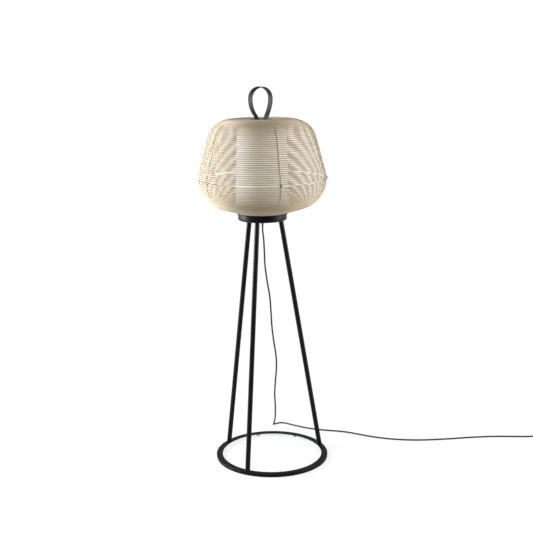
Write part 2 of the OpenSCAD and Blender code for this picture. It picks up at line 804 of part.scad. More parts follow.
// A rib is a flat bar cut to the shade's outline, from the mouth ring to the foot hoop
function rib_foot(depth) =
    let (n = outline_n(outline_last), q = outline[outline_last] + n * depth)
    [foot_r, q.y + (foot_r - q.x) * tan(foot_slope)];
function rib_edge(depth) = concat(
    [for (i = [0:outline_last - 1]) outline[i] + outline_n(i) * depth],
    [rib_foot(depth)]
);

module rib(i) {
    inner = rib_edge(rib_in);
    color("#b9a98a") on_axis() rotate([0, 0, rib_turn + rib_step * i]) rotate([90, 0, 0])
        linear_extrude(rib_w, center = true)
            polygon(concat(rib_edge(rib_out), [for (k = [len(inner) - 1:-1:0]) inner[k]]));
}

// A tie holds each rib at the seam: a neck between the rows and a rounded head outside
module rib_tie() {
    p = skin(seam_s, 0);
    n = skin(seam_s, 1) - p;
    neck_tall = seam_gap - cord_d - 6;
    translate([p.x, 0, p.y]) rotate([0, atan2(n.y, -n.x), 0]) {
        translate([-(rib_out - play), -rib_w / 2, -neck_tall / 2]) cube([rib_out, rib_w, neck_tall]);
        translate([play, 0, 0]) rotate([0, 90, 0]) linear_extrude(tie_out) union() {
            square([tie_h - 3, tie_w], center = true);
            square([tie_h, tie_w - 3], center = true);
            for (x = [-1, 1], y = [-1, 1])
                translate([x * (tie_h - 3) / 2, y * (tie_w - 3) / 2]) circle(r = 1.5);
        }
    }
}

module rib_ties() {
    color("#78674a") on_axis() for (i = [0:rib_count - 1]) rotate([0, 0, rib_turn + rib_step * i]) rib_tie();
}

// A wound cord: six-sided rings on the rows, with a straight end of one diameter at each rib
module winding(path) {
    last = len(path) - 1;
    head = unit(path[1] - path[0]);
    tail = unit(path[last] - path[last - 1]);
    full = concat([path[0] - head * cord_d], path, [path[last] + tail * cord_d]);
    points = [for (k = [0:last + 2])
        let (
            c = full[k],
            a = k == 0 ? atan2(path[0].y, path[0].x) : k > last + 1 ? atan2(path[last].y, path[last].x)
                : atan2(c.y, c.x)
        )
        for (j = [0:5]) c + cord_d / 2 * [cos(60 * j) * cos(a), cos(60 * j) * sin(a), -sin(60 * j)]];
    on_axis() polyhedron(points, tube_faces(last + 3, 6));
}

module winding_upper() {
    color("#e2d8bf") winding(upper_path);
}

module winding_lower() {
    color("#e2d8bf") winding(lower_path);
}

// Lid and strap

module lid_screw_places() {
    for (a = [60, 120, 240, 300]) rotate([0, 0, strap_turn + a])
        translate([lid_r - ledge_w / 2, 0, 0]) children();
}

module strap_places() {
    on_axis() rotate([0, 0, strap_turn]) children();
}

module lid() {
    color("#18181a") difference() {
        on_axis() translate([0, 0, lid_z]) cylinder(r = lid_r, h = lid_t);
        strap_places() for (s = [-1, 1])
            translate([s * strap_foot - strap_t / 2 - 0.6, -strap_w / 2 - play, lid_z - 1])
                cube([strap_t + 1.2, strap_w + 2 * play, lid_t + 2]);
        on_axis() translate([0, 0, lid_z]) lid_screw_places() small_hole(lid_t);
    }
}

module lid_screws() {
    color("#303030") on_axis() translate([0, 0, lid_top]) lid_screw_places()
        pan_screw(small_screw_d, lid_t + 3, small_head_d * 0.8, small_head_h * 0.6);
}

// Offset of the strap's line to one side, square to the line at each point
function strap_edge(d) =
    let (last = len(strap_line) - 1)
    [for (i = [0:last])
        let (t = unit(strap_line[min(i + 1, last)] - strap_line[max(i - 1, 0)]))
        strap_line[i] + d * (i == 0 ? [1, 0] : i == last ? [-1, 0] : [t.y, -t.x])];

module strap() {
    inner = strap_edge(-strap_t / 2);
    color("#2a2a2c") difference() {
        strap_places() rotate([90, 0, 0]) linear_extrude(strap_w, center = true)
            polygon(concat(strap_edge(strap_t / 2), [for (i = [len(inner) - 1:-1:0]) inner[i]]));
        rivet_places() cylinder(d = rivet_d + 2 * fit, h = 4 * strap_foot, center = true);
    }
}

module rivet_places() {
    strap_places() for (y = [-strap_w / 4, strap_w / 4])
        translate([0, y, lid_z - anchor_h / 2]) rotate([0, 90, 0]) children();
}

// The block between the strap's two ends, welded under the lid
module strap_anchor() {
    half = strap_foot - strap_t / 2;
    color("#8c8c90") difference() {
        strap_places() translate([-half, -strap_w / 2, strap_low]) cube([2 * half, strap_w, anchor_h]);
        rivet_places() cylinder(d = rivet_d + 2 * fit, h = 4 * strap_foot, center = true);
    }
}

// Each rivet passes through both ends of the strap and the block, with a head on each side
module strap_rivets() {
    out = strap_foot + strap_t / 2;
    color("#a0a0a4") rivet_places() {
        cylinder(d = rivet_d, h = 2 * out, center = true);
        for (s = [-1, 1]) translate([0, 0, s * (out + 0.6)]) cylinder(d = rivet_d * 1.8, h = 1.2, center = true);
    }
}

// Cable and plug

module power_cable() {
    color("#141414") on_axis() tube_along(cable_path, [0, 0, -1], [1, 0, 0], [0, 1, 0], cable_d / 2, cable_sides);
}

module at_plug() {
    on_axis() translate([cable_end.x, cable_end.y, plug_mid_z]) children();
}

module plug_boot() {
    color("#141414") at_plug() rotate([0, 90, 0]) cylinder(r1 = cable_d / 2 + 0.8, r2 = cable_d / 2 + 2.2, h = boot_l);
}

plug_nose = 9;

module plug_body() {
    half = plug_body_w / 2;
    back = half * 0.4;
    color("#141414") at_plug() translate([boot_l, 0, -plug_mid_z]) linear_extrude(plug_body_t) polygon([
        [0, -back], [plug_body_l - plug_nose - 8, -half], [plug_body_l - 2, -half], [plug_body_l, -half + 2],
        [plug_body_l, half - 2], [plug_body_l - 2, half], [plug_body_l - plug_nose - 8, half], [0, back]
    ]);
}

// Each pin has an insulated sleeve next to the body
module plug_pins() {
    color("#c8c8cc") at_plug() translate([boot_l + plug_body_l, 0, 0]) for (s = [-1, 1])
        translate([0, s * pin_pitch / 2, 0]) rotate([0, 90, 0]) {
            cylinder(d = pin_d - 0.2, h = pin_l / 2);
            translate([0, 0, pin_l / 2]) cylinder(d = pin_d, h = pin_l / 2);
        }
}

base_ring();
base_pads();
leg(0);  // leg_right
leg(1);  // leg_left
leg(2);  // leg_front
leg_plugs_lower();
leg_plugs_upper();
leg_screws_lower();
leg_screws_upper();
collar_pan();
plate_pillars();
mounting_plate();
plate_screws();
collar_gasket();
spring_catches();
terminal_block();
terminal_screws();
strain_relief();
gland_nut();
inner_lead();
supply_wires();
lamp_wires();
lampholder_body();
lampholder_shell();
centre_contact();
lampholder_screws();
bulb_contact();
bulb_cap();
bulb_housing();
bulb_globe();
diffuser();
diffuser_gasket();
diffuser_screws();
seat_plate();
foot_hoop();
mouth_ring();
rib(0);  // rib_1
rib(1);  // rib_2
rib(2);  // rib_3
rib(3);  // rib_4
rib(4);  // rib_5
rib_ties();
winding_upper();
winding_lower();
lid();
lid_screws();
strap();
strap_anchor();
strap_rivets();
power_cable();
plug_boot();
plug_body();
plug_pins();
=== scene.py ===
"""Looks of the outdoor floor lamp, built round its packed construction model.

Lengths are in metres and angles in degrees unless a name says otherwise. The sizes repeat those of the
construction model, so each piece made here lies where its CAD node lies.
"""

import math

import bpy
import bmesh
import numpy as np
from mathutils import Matrix, Vector


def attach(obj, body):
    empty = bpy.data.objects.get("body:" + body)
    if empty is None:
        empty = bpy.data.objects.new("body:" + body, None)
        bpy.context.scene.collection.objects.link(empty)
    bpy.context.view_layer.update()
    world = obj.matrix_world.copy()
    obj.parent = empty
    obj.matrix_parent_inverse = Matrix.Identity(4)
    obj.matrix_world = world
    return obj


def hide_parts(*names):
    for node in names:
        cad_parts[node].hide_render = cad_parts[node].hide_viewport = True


bl_info = {
    "name": "Outdoor Floor Lamp",
    "version": (1, 0, 0),
    "blender": (4, 5, 0),
    "location": "3D View > Sidebar > Lamp",
    "description": "Wound shade, finishes, cable and studio of an outdoor floor lamp",
    "category": "Object",
}

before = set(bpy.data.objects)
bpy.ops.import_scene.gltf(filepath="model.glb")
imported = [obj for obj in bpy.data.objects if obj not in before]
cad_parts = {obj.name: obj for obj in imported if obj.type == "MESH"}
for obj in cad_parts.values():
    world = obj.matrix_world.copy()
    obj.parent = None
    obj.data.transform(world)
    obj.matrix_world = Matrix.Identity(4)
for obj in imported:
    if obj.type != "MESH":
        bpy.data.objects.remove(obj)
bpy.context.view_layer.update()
MM = 0.001

# Places and heights of the lamp, as in the construction model
AXIS_X = -0.003  # axis of the collar and the shade
RING_X = 0.023  # centre of the base ring
BASE_TOP = 0.012
STAND_H = 0.889  # underside of the collar
COLLAR_TOP = 0.909
SHADE_Z = 0.912  # underside of the shade's foot hoop
SHADE_TOP = 1.241
LID_Z = 1.2355  # top of the lid

# Base ring, pads, legs and collar
RING_R = 0.2055
RING_HOLE_R = 0.183
RING_SHEET = 0.003
SKIRT_GAP = 0.001  # between the ring's skirt and the floor
PAD_R = 0.007
LEG_R = 0.00875
LEG_FOOT_R = 0.19425  # of the three feet about the ring's centre
LEG_TOP_R = 0.066  # of the three upper ends about the collar's axis
LEG_FEET = (22.0, 147.0, 243.0)
LEG_TOPS = (14.0, 134.0, 254.0)
COLLAR_R = 0.0866
COLLAR_WALL = 0.0025
COLLAR_FLOOR = 0.003
COLLAR_BORE_R = 0.0056

# Outline of the shade, its ribs and the lashing on them
MOUTH_R = 0.042
SHOULDER_R = 0.085
BELLY_R = 0.100
BELLY_CENTRE = (0.1255, SHADE_Z + 0.118)
FOOT_R = 0.090
SIDE_LEAN = 15  # of the straight side from upright
UNDER_SLOPE = 17  # of the straight underside from level
SEAM_Z = SHADE_Z + 0.123
MOUTH_CLEAR = 0.0005  # from the mouth's edge to the first row
FOOT_CLEAR = 0.0012  # from the last row to the foot's edge
RIB_TURN = 142.0
RIB_COUNT = 5
TWIST = 0.012  # length of cord in which its plies repeat
LASH_START, LASH_END = 0.118, 0.375  # lengths along the outline
LASH_R, LASH_PROUD = 0.0009, 0.0002

# Cable and plug
CABLE_R = 0.003
BOOT_LENGTH = 0.026
PLUG_LENGTH = 0.035

# Camera, with the photograph's width and focal length in its pixels
SENSOR_MM = 36.0
FRAME_PX = 533
FOCAL_PX = 1000
CAMERA_X = AXIS_X + 0.0124

# Route of the free cable from the collar to the plug, in millimetres from the collar's axis
CABLE_ROUTE = [
    [0, 0, 866], [0, 1, 848], [3, 3, 820], [5, 6, 780], [7, 12, 720], [14, 20, 660], [23, 30, 600],
    [27, 43, 540], [30, 58, 480], [36, 76, 420], [44, 97, 360], [46, 120, 300], [42, 146, 240],
    [39, 175, 180], [41, 206, 120], [41, 232, 72], [39, 252, 40], [35, 271, 18], [34, 288, 7],
    [42, 304, 3.5], [58, 313, 3.1], [76, 312, 3.1], [93, 302, 3.1], [114, 287, 3.1],
    [138, 271, 3.1], [178, 249, 3.1], [225, 232, 3.1], [295, 215, 3.1], [333, 201, 3.1],
    [363, 184, 3.1], [430, 150, 3.1], [510, 126, 3.1], [600, 118, 3.1], [700, 126, 3.1],
    [800, 140, 3.1], [890, 146, 3.1], [970, 143, 3.1], [1020, 140, 4], [1050, 140, 6.85],
]


def cable_route():
    """The cable's route in metres, in the lamp's own frame."""
    return np.array(CABLE_ROUTE) * MM + [AXIS_X, 0, 0]


# Settings shown in the sidebar


class LampShadeSettings(bpy.types.PropertyGroup):
    """Sizes and colours of the wound shade."""

    rows_upper: bpy.props.IntProperty(
        name="Rows above the seam", description="Turns of cord from the mouth to the seam",
        default=45, min=20, max=60)
    rows_lower: bpy.props.IntProperty(
        name="Rows below the seam", description="Turns of cord from the seam to the foot",
        default=29, min=12, max=40)
    cord: bpy.props.FloatProperty(
        name="Cord", description="Diameter of the wound cord",
        default=0.004, min=0.002, max=0.006, unit="LENGTH")
    seam_gap: bpy.props.FloatProperty(
        name="Seam", description="Distance between the rows above and below the seam",
        default=0.0105, min=0.006, max=0.022, unit="LENGTH")
    cord_colour: bpy.props.FloatVectorProperty(
        name="Cord colour", description="Colour of the wound cord",
        default=(0.585, 0.51, 0.375), size=3, min=0, max=1, subtype="COLOR")
    lashing_colour: bpy.props.FloatVectorProperty(
        name="Lashing colour", description="Colour of the thin lashing along the ribs",
        default=(0.21, 0.155, 0.095), size=3, min=0, max=1, subtype="COLOR")
    tie_colour: bpy.props.FloatVectorProperty(
        name="Tie colour", description="Colour of the ties at the seam",
        default=(0.22, 0.175, 0.11), size=3, min=0, max=1, subtype="COLOR")
    opal_colour: bpy.props.FloatVectorProperty(
        name="Diffuser colour", description="Colour of the opal diffuser, unlit",
        default=(0.92, 0.91, 0.88), size=3, min=0, max=1, subtype="COLOR")


class LampMetalSettings(bpy.types.PropertyGroup):
    """Finish of the painted metal, and the strap's colour and width."""

    paint_colour: bpy.props.FloatVectorProperty(
        name="Paint", description="Colour of the painted metal",
        default=(0.004, 0.0039, 0.0039), size=3, min=0, max=1, subtype="COLOR")
    paint_roughness: bpy.props.FloatProperty(
        name="Paint roughness", description="0 is polished, 1 is matt",
        default=0.30, min=0, max=1, subtype="FACTOR")
    strap_colour: bpy.props.FloatVectorProperty(
        name="Strap", description="Colour of the strap's leather",
        default=(0.0075, 0.0070, 0.0065), size=3, min=0, max=1, subtype="COLOR")
    strap_width: bpy.props.FloatProperty(
        name="Strap width", description="Width of the strap",
        default=0.030, min=0.015, max=0.04, unit="LENGTH")


class LampStageSettings(bpy.types.PropertyGroup):
    """Camera and light of the studio."""

    distance: bpy.props.FloatProperty(
        name="Camera distance", description="Distance of the camera in front of the lamp",
        default=3.490, min=1, max=8, unit="LENGTH")
    height: bpy.props.FloatProperty(
        name="Camera height", description="Height of the camera above the floor",
        default=1.485, min=0.2, max=3, unit="LENGTH")
    pitch: bpy.props.FloatProperty(
        name="Camera pitch", description="How far the camera looks down",
        default=math.radians(12.4), subtype="ANGLE")
    roll: bpy.props.FloatProperty(
        name="Camera roll", description="Turn of the camera about its own line of sight",
        default=math.radians(-0.6), subtype="ANGLE")
    key_power: bpy.props.FloatProperty(
        name="Key light", description="Power of the large light at the left, in watts",
        default=308.0, min=0, max=400)
    fill_power: bpy.props.FloatProperty(
        name="Fill light", description="Power of the light at the right, in watts",
        default=154.0, min=0, max=400)
    front_power: bpy.props.FloatProperty(
        name="Front light", description="Power of the light beside the camera, in watts",
        default=12.0, min=0, max=400)
    backdrop: bpy.props.FloatProperty(
        name="Backdrop", description="Strength of the light from the backdrop behind the lamp",
        default=3.2, min=0, max=4)
    sky: bpy.props.FloatProperty(
        name="Sky", description="Strength of the light from all round",
        default=0.15, min=0, max=2)


# Mesh making


def closed_round(points, uv_scale=(1.0, 1.0), wrap=False, caps=False):
    """Mesh data of a grid of rings: vertex (i, j) is point j of ring i, and each ring closes on itself.

    Faces join ring i to ring i + 1; with wrap the last ring joins the first, and with caps the first
    and last rings are closed by a face each. U is the way along the rings, V the way round them.
    """
    rings, sides = points.shape[:2]
    i = np.arange(rings if wrap else rings - 1)
    j = np.arange(sides)
    ii, jj = np.meshgrid(i, j, indexing="ij")
    n, m = (ii + 1) % rings, (jj + 1) % sides
    quads = np.stack([ii * sides + jj, n * sides + jj, n * sides + m, ii * sides + m], -1).reshape(-1, 4)
    u = np.stack([ii, ii + 1, ii + 1, ii], -1).reshape(-1, 4) * uv_scale[0]
    v = np.stack([jj, jj, jj + 1, jj + 1], -1).reshape(-1, 4) / sides * uv_scale[1]
    loops = quads.reshape(-1)
    sizes = np.full(len(quads), 4)
    uv = np.stack([u, v], -1).reshape(-1, 2)
    if caps:
        first = np.arange(sides)
        last = ((rings - 1) * sides + first)[::-1]
        loops = np.concatenate([loops, first, last])
        sizes = np.concatenate([sizes, [sides, sides]])
        uv = np.concatenate([uv, np.zeros((2 * sides, 2))])
    return points.reshape(-1, 3), loops, sizes, uv


def new_object(name, data):
    """An object of that data, in the scene."""
    obj = bpy.data.objects.new(name, data)
    bpy.context.scene.collection.objects.link(obj)
    return obj


def add_mesh(name, parts):
    """One smooth object from several closed_round results, at the origin, in the lamp's own frame."""
    verts = np.concatenate([p[0] for p in parts])
    starts = np.cumsum([0] + [len(p[0]) for p in parts])[:-1]
    loops = np.concatenate([p[1] + s for p, s in zip(parts, starts)])
    sizes = np.concatenate([p[2] for p in parts])
    uv = np.concatenate([p[3] for p in parts])
    mesh = bpy.data.meshes.new(name)
    mesh.vertices.add(len(verts))
    mesh.vertices.foreach_set("co", verts.astype(np.float32).reshape(-1))
    mesh.loops.add(len(loops))
    mesh.loops.foreach_set("vertex_index", loops.astype(np.int32))
    mesh.polygons.add(len(sizes))
    mesh.polygons.foreach_set("loop_start", np.concatenate([[0], np.cumsum(sizes)[:-1]]).astype(np.int32))
    mesh.polygons.foreach_set("loop_total", sizes.astype(np.int32))
    mesh.uv_layers.new(name="UVMap")
    mesh.uv_layers[0].data.foreach_set("uv", uv.astype(np.float32).reshape(-1))
    mesh.update(calc_edges=True)
    mesh.validate()
    obj = new_object(name, mesh)
    face_out(mesh)
    mesh.polygons.foreach_set("use_smooth", np.full(len(mesh.polygons), True))
    return obj


def face_out(mesh):
    """Merges doubled points, as at a pole, and points every face outwards."""
    work = bmesh.new()
    work.from_mesh(mesh)
    bmesh.ops.remove_doubles(work, verts=work.verts, dist=1e-7)
    bmesh.ops.recalc_face_normals(work, faces=work.faces)
    work.to_mesh(mesh)
    work.free()


def keep_edges(obj, angle):
    """Edges sharper than the angle stay sharp under smooth shading."""
    obj.data.set_sharp_from_angle(angle=math.radians(angle))
    return obj


def round_angles(count):
    """That many even steps of one full turn, from 0."""
    return np.arange(count) * 2 * np.pi / count


def steps_of(path):
    """Lengths from each point of a path to the next."""
    return np.linalg.norm(np.diff(path, axis=0), axis=1)


def unit_rows(v):
    """Each row divided by its own length."""
    return v / np.linalg.norm(v, axis=-1, keepdims=True)


def soft_corners(corners, radius, steps=4):
    """A closed outline of radius and height whose corners are rounded.

    Each corner P between unit directions a (to the last corner) and b (to the next) becomes the curve
    P + r ((1 - t)^2 a + t^2 b), t from 0 to 1, with r no more than 0.45 of either side.
    """
    p = np.array(corners, float)
    back, ahead = np.roll(p, 1, 0) - p, np.roll(p, -1, 0) - p
    lb, la = np.linalg.norm(back, axis=1), np.linalg.norm(ahead, axis=1)
    r = np.minimum(np.broadcast_to(radius, len(p)), 0.45 * np.minimum(lb, la))[:, None, None]
    t = np.linspace(0, 1, steps + 1)[None, :, None]
    a, b = (back / lb[:, None])[:, None], (ahead / la[:, None])[:, None]
    return (p[:, None] + r * ((1 - t) ** 2 * a + t ** 2 * b)).reshape(-1, 2)


def turned_grid(profile, sides, centre=(AXIS_X, 0.0)):
    """Points (x, y, z) = (cx + r cos a, cy + r sin a, z) for each (r, z) of the profile and each angle a."""
    a = round_angles(sides)
    r, z = np.asarray(profile, float).T
    return np.stack([centre[0] + r[:, None] * np.cos(a), centre[1] + r[:, None] * np.sin(a),
                     np.broadcast_to(z[:, None], (len(r), sides))], -1)


def turned(profile, sides, uv_scale, centre=(AXIS_X, 0.0), wrap=False):
    """Mesh data of a profile turned about the upright line through the centre."""
    return closed_round(turned_grid(profile, sides, centre), uv_scale, wrap=wrap)


def arc(centre, radius, start, end, steps):
    """Points centre + radius (cos a, sin a), a from start to end in degrees."""
    a = np.radians(np.linspace(start, end, steps + 1))
    return np.stack([centre[0] + radius * np.cos(a), centre[1] + radius * np.sin(a)], -1)


def flared_line(a, b, steps):
    """A flared line from a to b: radius follows f^1.4 of the way and height f, f from 0 to 1."""
    f = np.linspace(0, 1, steps + 1)[1:]
    return np.stack([a[0] + (b[0] - a[0]) * f ** 1.4, a[1] + (b[1] - a[1]) * f], -1)


def squarish_round(count, power):
    """Points (x, y) of |x|^n + |y|^n = 1, with n = 2 / power: each of cos w and sin w, raised to the power
    with its sign kept, at even steps of w."""
    w = round_angles(count)
    return [np.sign(c) * np.abs(c) ** power for c in (np.cos(w), np.sin(w))]


def carried_tube(path, radius, sides, first=None, last=None, side_hint=(0.0, 1.0, 0.0)):
    """Rings of points path + r (cos w N + sin w B) round a path, with N and B square to its tangent T.

    N is the hint with its part along T taken away, and B is T x N, so the tube doesn't twist where the
    path stays away from the hint's direction.
    """
    t = np.gradient(path, axis=0)
    if first is not None:
        t[0] = first
    if last is not None:
        t[-1] = last
    t = unit_rows(t)
    hint = np.broadcast_to(np.asarray(side_hint, float), t.shape)
    n = unit_rows(hint - (hint * t).sum(-1, keepdims=True) * t)
    b = np.cross(t, n)
    w = round_angles(sides)
    r = np.broadcast_to(radius, len(path))[:, None, None]
    across = np.cos(w)[None, :, None] * n[:, None] + np.sin(w)[None, :, None] * b[:, None]
    return path[:, None] + r * across


def smooth_route(points, steps):
    """A curve through the points. On each span it is half of the cubic
    2b + (c - a) t + (2a - 5b + 4c - d) t^2 + (3b - a - 3c + d) t^3,
    where b and c are the span's ends and a and d their neighbours."""
    p = np.asarray(points, float)
    a, b, c, d = (np.concatenate([p[:1], p[:-2]]), p[:-1], p[1:], np.concatenate([p[2:], p[-1:]]))
    t = (np.arange(steps) / steps)[None, :, None]
    a, b, c, d = a[:, None], b[:, None], c[:, None], d[:, None]
    square, cube = 2 * a - 5 * b + 4 * c - d, 3 * b - a - 3 * c + d
    curve = (2 * b + (c - a) * t + square * t ** 2 + cube * t ** 3) / 2
    return np.concatenate([curve.reshape(-1, 3), p[-1:]])


# The shade's outline


def shade_outline():
    """Outer outline of the shade from the mouth to the foot: level lid band, shoulder arc, straight side,
    lower bulge and straight underside. Returns length along it, radius, height and inward normal.

    The side, leaning by l, touches both arcs, so x cos l + z sin l + r is the same for the centre (x, z) and
    radius r of each.
    """
    lean, slope = math.radians(SIDE_LEAN), math.radians(UNDER_SLOPE)
    shoulder_z = SHADE_TOP - SHOULDER_R
    reach = BELLY_CENTRE[0] * math.cos(lean) + BELLY_CENTRE[1] * math.sin(lean) + BELLY_R
    shoulder_x = (reach - SHOULDER_R - shoulder_z * math.sin(lean)) / math.cos(lean)
    belly = arc(BELLY_CENTRE, BELLY_R, SIDE_LEAN, UNDER_SLOPE - 90, 80)
    end = belly[-1]
    points = np.concatenate([
        np.stack([np.linspace(MOUTH_R, shoulder_x, 12), np.full(12, SHADE_TOP)], -1)[:-1],
        arc((shoulder_x, shoulder_z), SHOULDER_R, 90, SIDE_LEAN, 60),
        belly,
        [[FOOT_R, end[1] - (end[0] - FOOT_R) * math.tan(slope)]],
    ])
    s = np.concatenate([[0], np.cumsum(steps_of(points))])
    t = unit_rows(np.gradient(points, s, axis=0))
    return s, points[:, 0], points[:, 1], np.stack([t[:, 1], -t[:, 0]], -1)


def length_at(z):
    """Length along the outline at a height of its lower half, where it only goes down."""
    down = OUT_S > 0.2
    return float(np.interp(-z, -OUT_Z[down], OUT_S[down]))


OUT_S, OUT_R, OUT_Z, OUT_N = shade_outline()
SEAM_S = length_at(SEAM_Z)


def on_outline(s, depth):
    """Radius and height at a length along the outline, a depth inside the outer surface."""
    n = unit_rows(np.stack([np.interp(s, OUT_S, OUT_N[:, 0]), np.interp(s, OUT_S, OUT_N[:, 1])], -1))
    return np.interp(s, OUT_S, OUT_R) + n[..., 0] * depth, np.interp(s, OUT_S, OUT_Z) + n[..., 1] * depth


def winding_span(shade, above):
    """Lengths along the outline of the first and last row above or below the seam, and the count of rows."""
    cord, half = shade.cord, shade.seam_gap / 2
    if above:
        return cord / 2 + MOUTH_CLEAR, SEAM_S - half, shade.rows_upper
    foot = (cord / 2 + FOOT_CLEAR) / math.cos(math.radians(UNDER_SLOPE))
    return SEAM_S + half, float(OUT_S[-1]) - foot, shade.rows_lower


def wound_cord(first, last, rows, cord, turn_steps=100, sides=8):
    """The cord's rings: row k lies level past the ribs at length first + pitch k along the outline, and
    steps to the next in the bay behind, where the step is the smooth 3f^2 - 2f^3 of the way f across."""
    pitch = (last - first) / (rows - 1)
    level = turn_steps * (RIB_COUNT - 1) // RIB_COUNT
    k = np.arange((rows - 1) * turn_steps + level + 1)
    turn, part = np.divmod(k, turn_steps)
    f = np.clip((part - level) / (turn_steps - level), 0, 1)
    s = first + pitch * (turn + f * f * (3 - 2 * f))
    a = np.radians(RIB_TURN + 360 * k / turn_steps)
    r, z = on_outline(s, cord / 2)
    w = round_angles(sides)
    rr = r[:, None] + cord / 2 * np.cos(w)
    zz = np.broadcast_to(z[:, None] - cord / 2 * np.sin(w), rr.shape)
    rings = np.stack([AXIS_X + rr * np.cos(a)[:, None], rr * np.sin(a)[:, None], zz], -1)
    middle = np.stack([r * np.cos(a), r * np.sin(a), z], -1)
    return rings, float(steps_of(middle).mean())


# Materials


def set_inputs(made, **inputs):
    """Sets a node's inputs by name; double underscores stand for spaces."""
    for key, value in inputs.items():
        made.inputs[key.replace("__", " ")].default_value = value
    return made


def node(tree, kind, **inputs):
    """A new node of that kind, with inputs given by name."""
    return set_inputs(tree.nodes.new(kind), **inputs)


def new_finish(name, colour, roughness, **inputs):
    """A material whose shader has this plain colour, roughness and other inputs; the caller adds the rest."""
    mat = bpy.data.materials.new(name)
    mat.use_nodes = True
    shader = mat.node_tree.nodes["Principled BSDF"]
    set_inputs(shader, Base__Color=(*colour, 1), Roughness=roughness, **inputs)
    mat.diffuse_color = (*colour, 1)
    return mat, mat.node_tree, shader


def feed(tree, socket, value):
    """Links another node's output to the socket, or sets the socket to a plain value."""
    if isinstance(value, bpy.types.NodeSocket):
        tree.links.new(value, socket)
    else:
        socket.default_value = value


def calculated(tree, operation, *values):
    """The result of one calculation on outputs or plain numbers."""
    made = tree.nodes.new("ShaderNodeMath")
    made.operation = operation
    for socket, value in zip(made.inputs, values):
        feed(tree, socket, value)
    return made.outputs[0]


def own_coordinates(tree):
    """The piece's own coordinates."""
    return tree.nodes.new("ShaderNodeTexCoord").outputs["Object"]


def split(tree, vector):
    """A vector's parts, as outputs X, Y and Z."""
    made = tree.nodes.new("ShaderNodeSeparateXYZ")
    tree.links.new(vector, made.inputs["Vector"])
    return made.outputs


def noise_at(tree, scale, detail=3.0, stretch=(1, 1, 1)):
    """Noise on the piece's own coordinates."""
    place = node(tree, "ShaderNodeMapping", Scale=stretch)
    noise = node(tree, "ShaderNodeTexNoise", Scale=scale, Detail=detail, Roughness=0.55)
    tree.links.new(own_coordinates(tree), place.inputs["Vector"])
    tree.links.new(place.outputs["Vector"], noise.inputs["Vector"])
    return noise.outputs["Fac"]


def ranged(tree, value, low, high, from_low=0.3, from_high=0.7):
    """The value carried from one range to another. Most noise lies from 0.3 to 0.7."""
    made = node(tree, "ShaderNodeMapRange",
                From__Min=from_low, From__Max=from_high, To__Min=low, To__Max=high)
    tree.links.new(value, made.inputs["Value"])
    return made.outputs["Result"]


def blended(tree, factor, first, second, how="MIX"):
    """Two colours, each an output or three numbers, mixed by a factor."""
    mix = tree.nodes.new("ShaderNodeMix")
    mix.data_type = "RGBA"
    mix.blend_type = how
    tree.links.new(factor, mix.inputs["Factor"])
    for name, colour in (("A", first), ("B", second)):
        feed(tree, mix.inputs[name], (*colour, 1) if isinstance(colour, tuple) else colour)
    return mix.outputs["Result"]


def background_rays(tree, backdrop):
    """1 for rays that see the white background: from the camera, through clear things, and reflected
    ones as far as they meet the backdrop."""
    path = tree.nodes.new("ShaderNodeLightPath")
    seen = calculated(tree, "MULTIPLY", path.outputs["Is Glossy Ray"], backdrop)
    for ray in ("Is Camera Ray", "Is Transmission Ray"):
        seen = calculated(tree, "MAXIMUM", seen, path.outputs[ray])
    return seen


def bumped(tree, shader, height, strength, distance):
    """The height as small relief on the surface."""
    bump = node(tree, "ShaderNodeBump", Strength=strength, Distance=distance)
    tree.links.new(height, bump.inputs["Height"])
    tree.links.new(bump.outputs["Normal"], shader.inputs["Normal"])
    return bump


def shade_of(colour, factor):
    """The colour made darker or lighter by a factor."""
    return tuple(min(1.0, c * factor) for c in colour)


def toned(tree, shader, drift, colour, dark, light):
    """The surface drifts between a darker and a lighter shade of its colour."""
    tint = blended(tree, drift, shade_of(colour, dark), shade_of(colour, light))
    tree.links.new(tint, shader.inputs["Base Color"])
    return tint


def painted_metal(name, colour, roughness):
    """Satin powder paint: fine orange-peel relief and a roughness that drifts a little."""
    mat, tree, shader = new_finish(name, colour, roughness, Specular__IOR__Level=0.12)
    drift = noise_at(tree, 9.0, 2.0)
    tree.links.new(ranged(tree, drift, roughness - 0.05, roughness + 0.06), shader.inputs["Roughness"])
    toned(tree, shader, drift, colour, 0.9, 1.12)
    bumped(tree, shader, noise_at(tree, 900.0, 2.0), 0.10, 0.0002)
    return mat


def twisted_cord(name, colour, strands=2.0, sheen=0.15, through=0.0):
    """Two-ply cord, with a drift of tone from row to row. The plies' relief is the sine of a full turn times
    strands V + U, on the cord's own U and V, and its hollows are darkened with painted shade."""
    mat, tree, shader = new_finish(name, colour, 0.68, Sheen__Weight=sheen)
    uv = split(tree, tree.nodes.new("ShaderNodeUVMap").outputs["UV"])
    slant = calculated(tree, "MULTIPLY_ADD", uv["Y"], strands, uv["X"])
    wave = calculated(tree, "SINE", calculated(tree, "MULTIPLY", slant, 2 * math.pi))
    ply = ranged(tree, wave, 0.0, 1.0, -1.0, 1.0)
    tone = noise_at(tree, 14.0, 4.0, stretch=(1, 1, 6))
    base = blended(tree, tone, shade_of(colour, 0.88), shade_of(colour, 1.1))
    # painted shade: the colour is multiplied darker where the plies' relief is low, in the hollows between
    # plies
    painted_hollow_shade = ranged(tree, ply, 0.75, 0.0, 0.0, 1.0)
    tint = blended(tree, painted_hollow_shade, base, (0.86, 0.83, 0.78), "MULTIPLY")
    tree.links.new(tint, shader.inputs["Base Color"])
    bump = bumped(tree, shader, ply, 0.35, 0.0004)
    if through:
        let_through(tree, shader, bump, tint, through)
    return mat


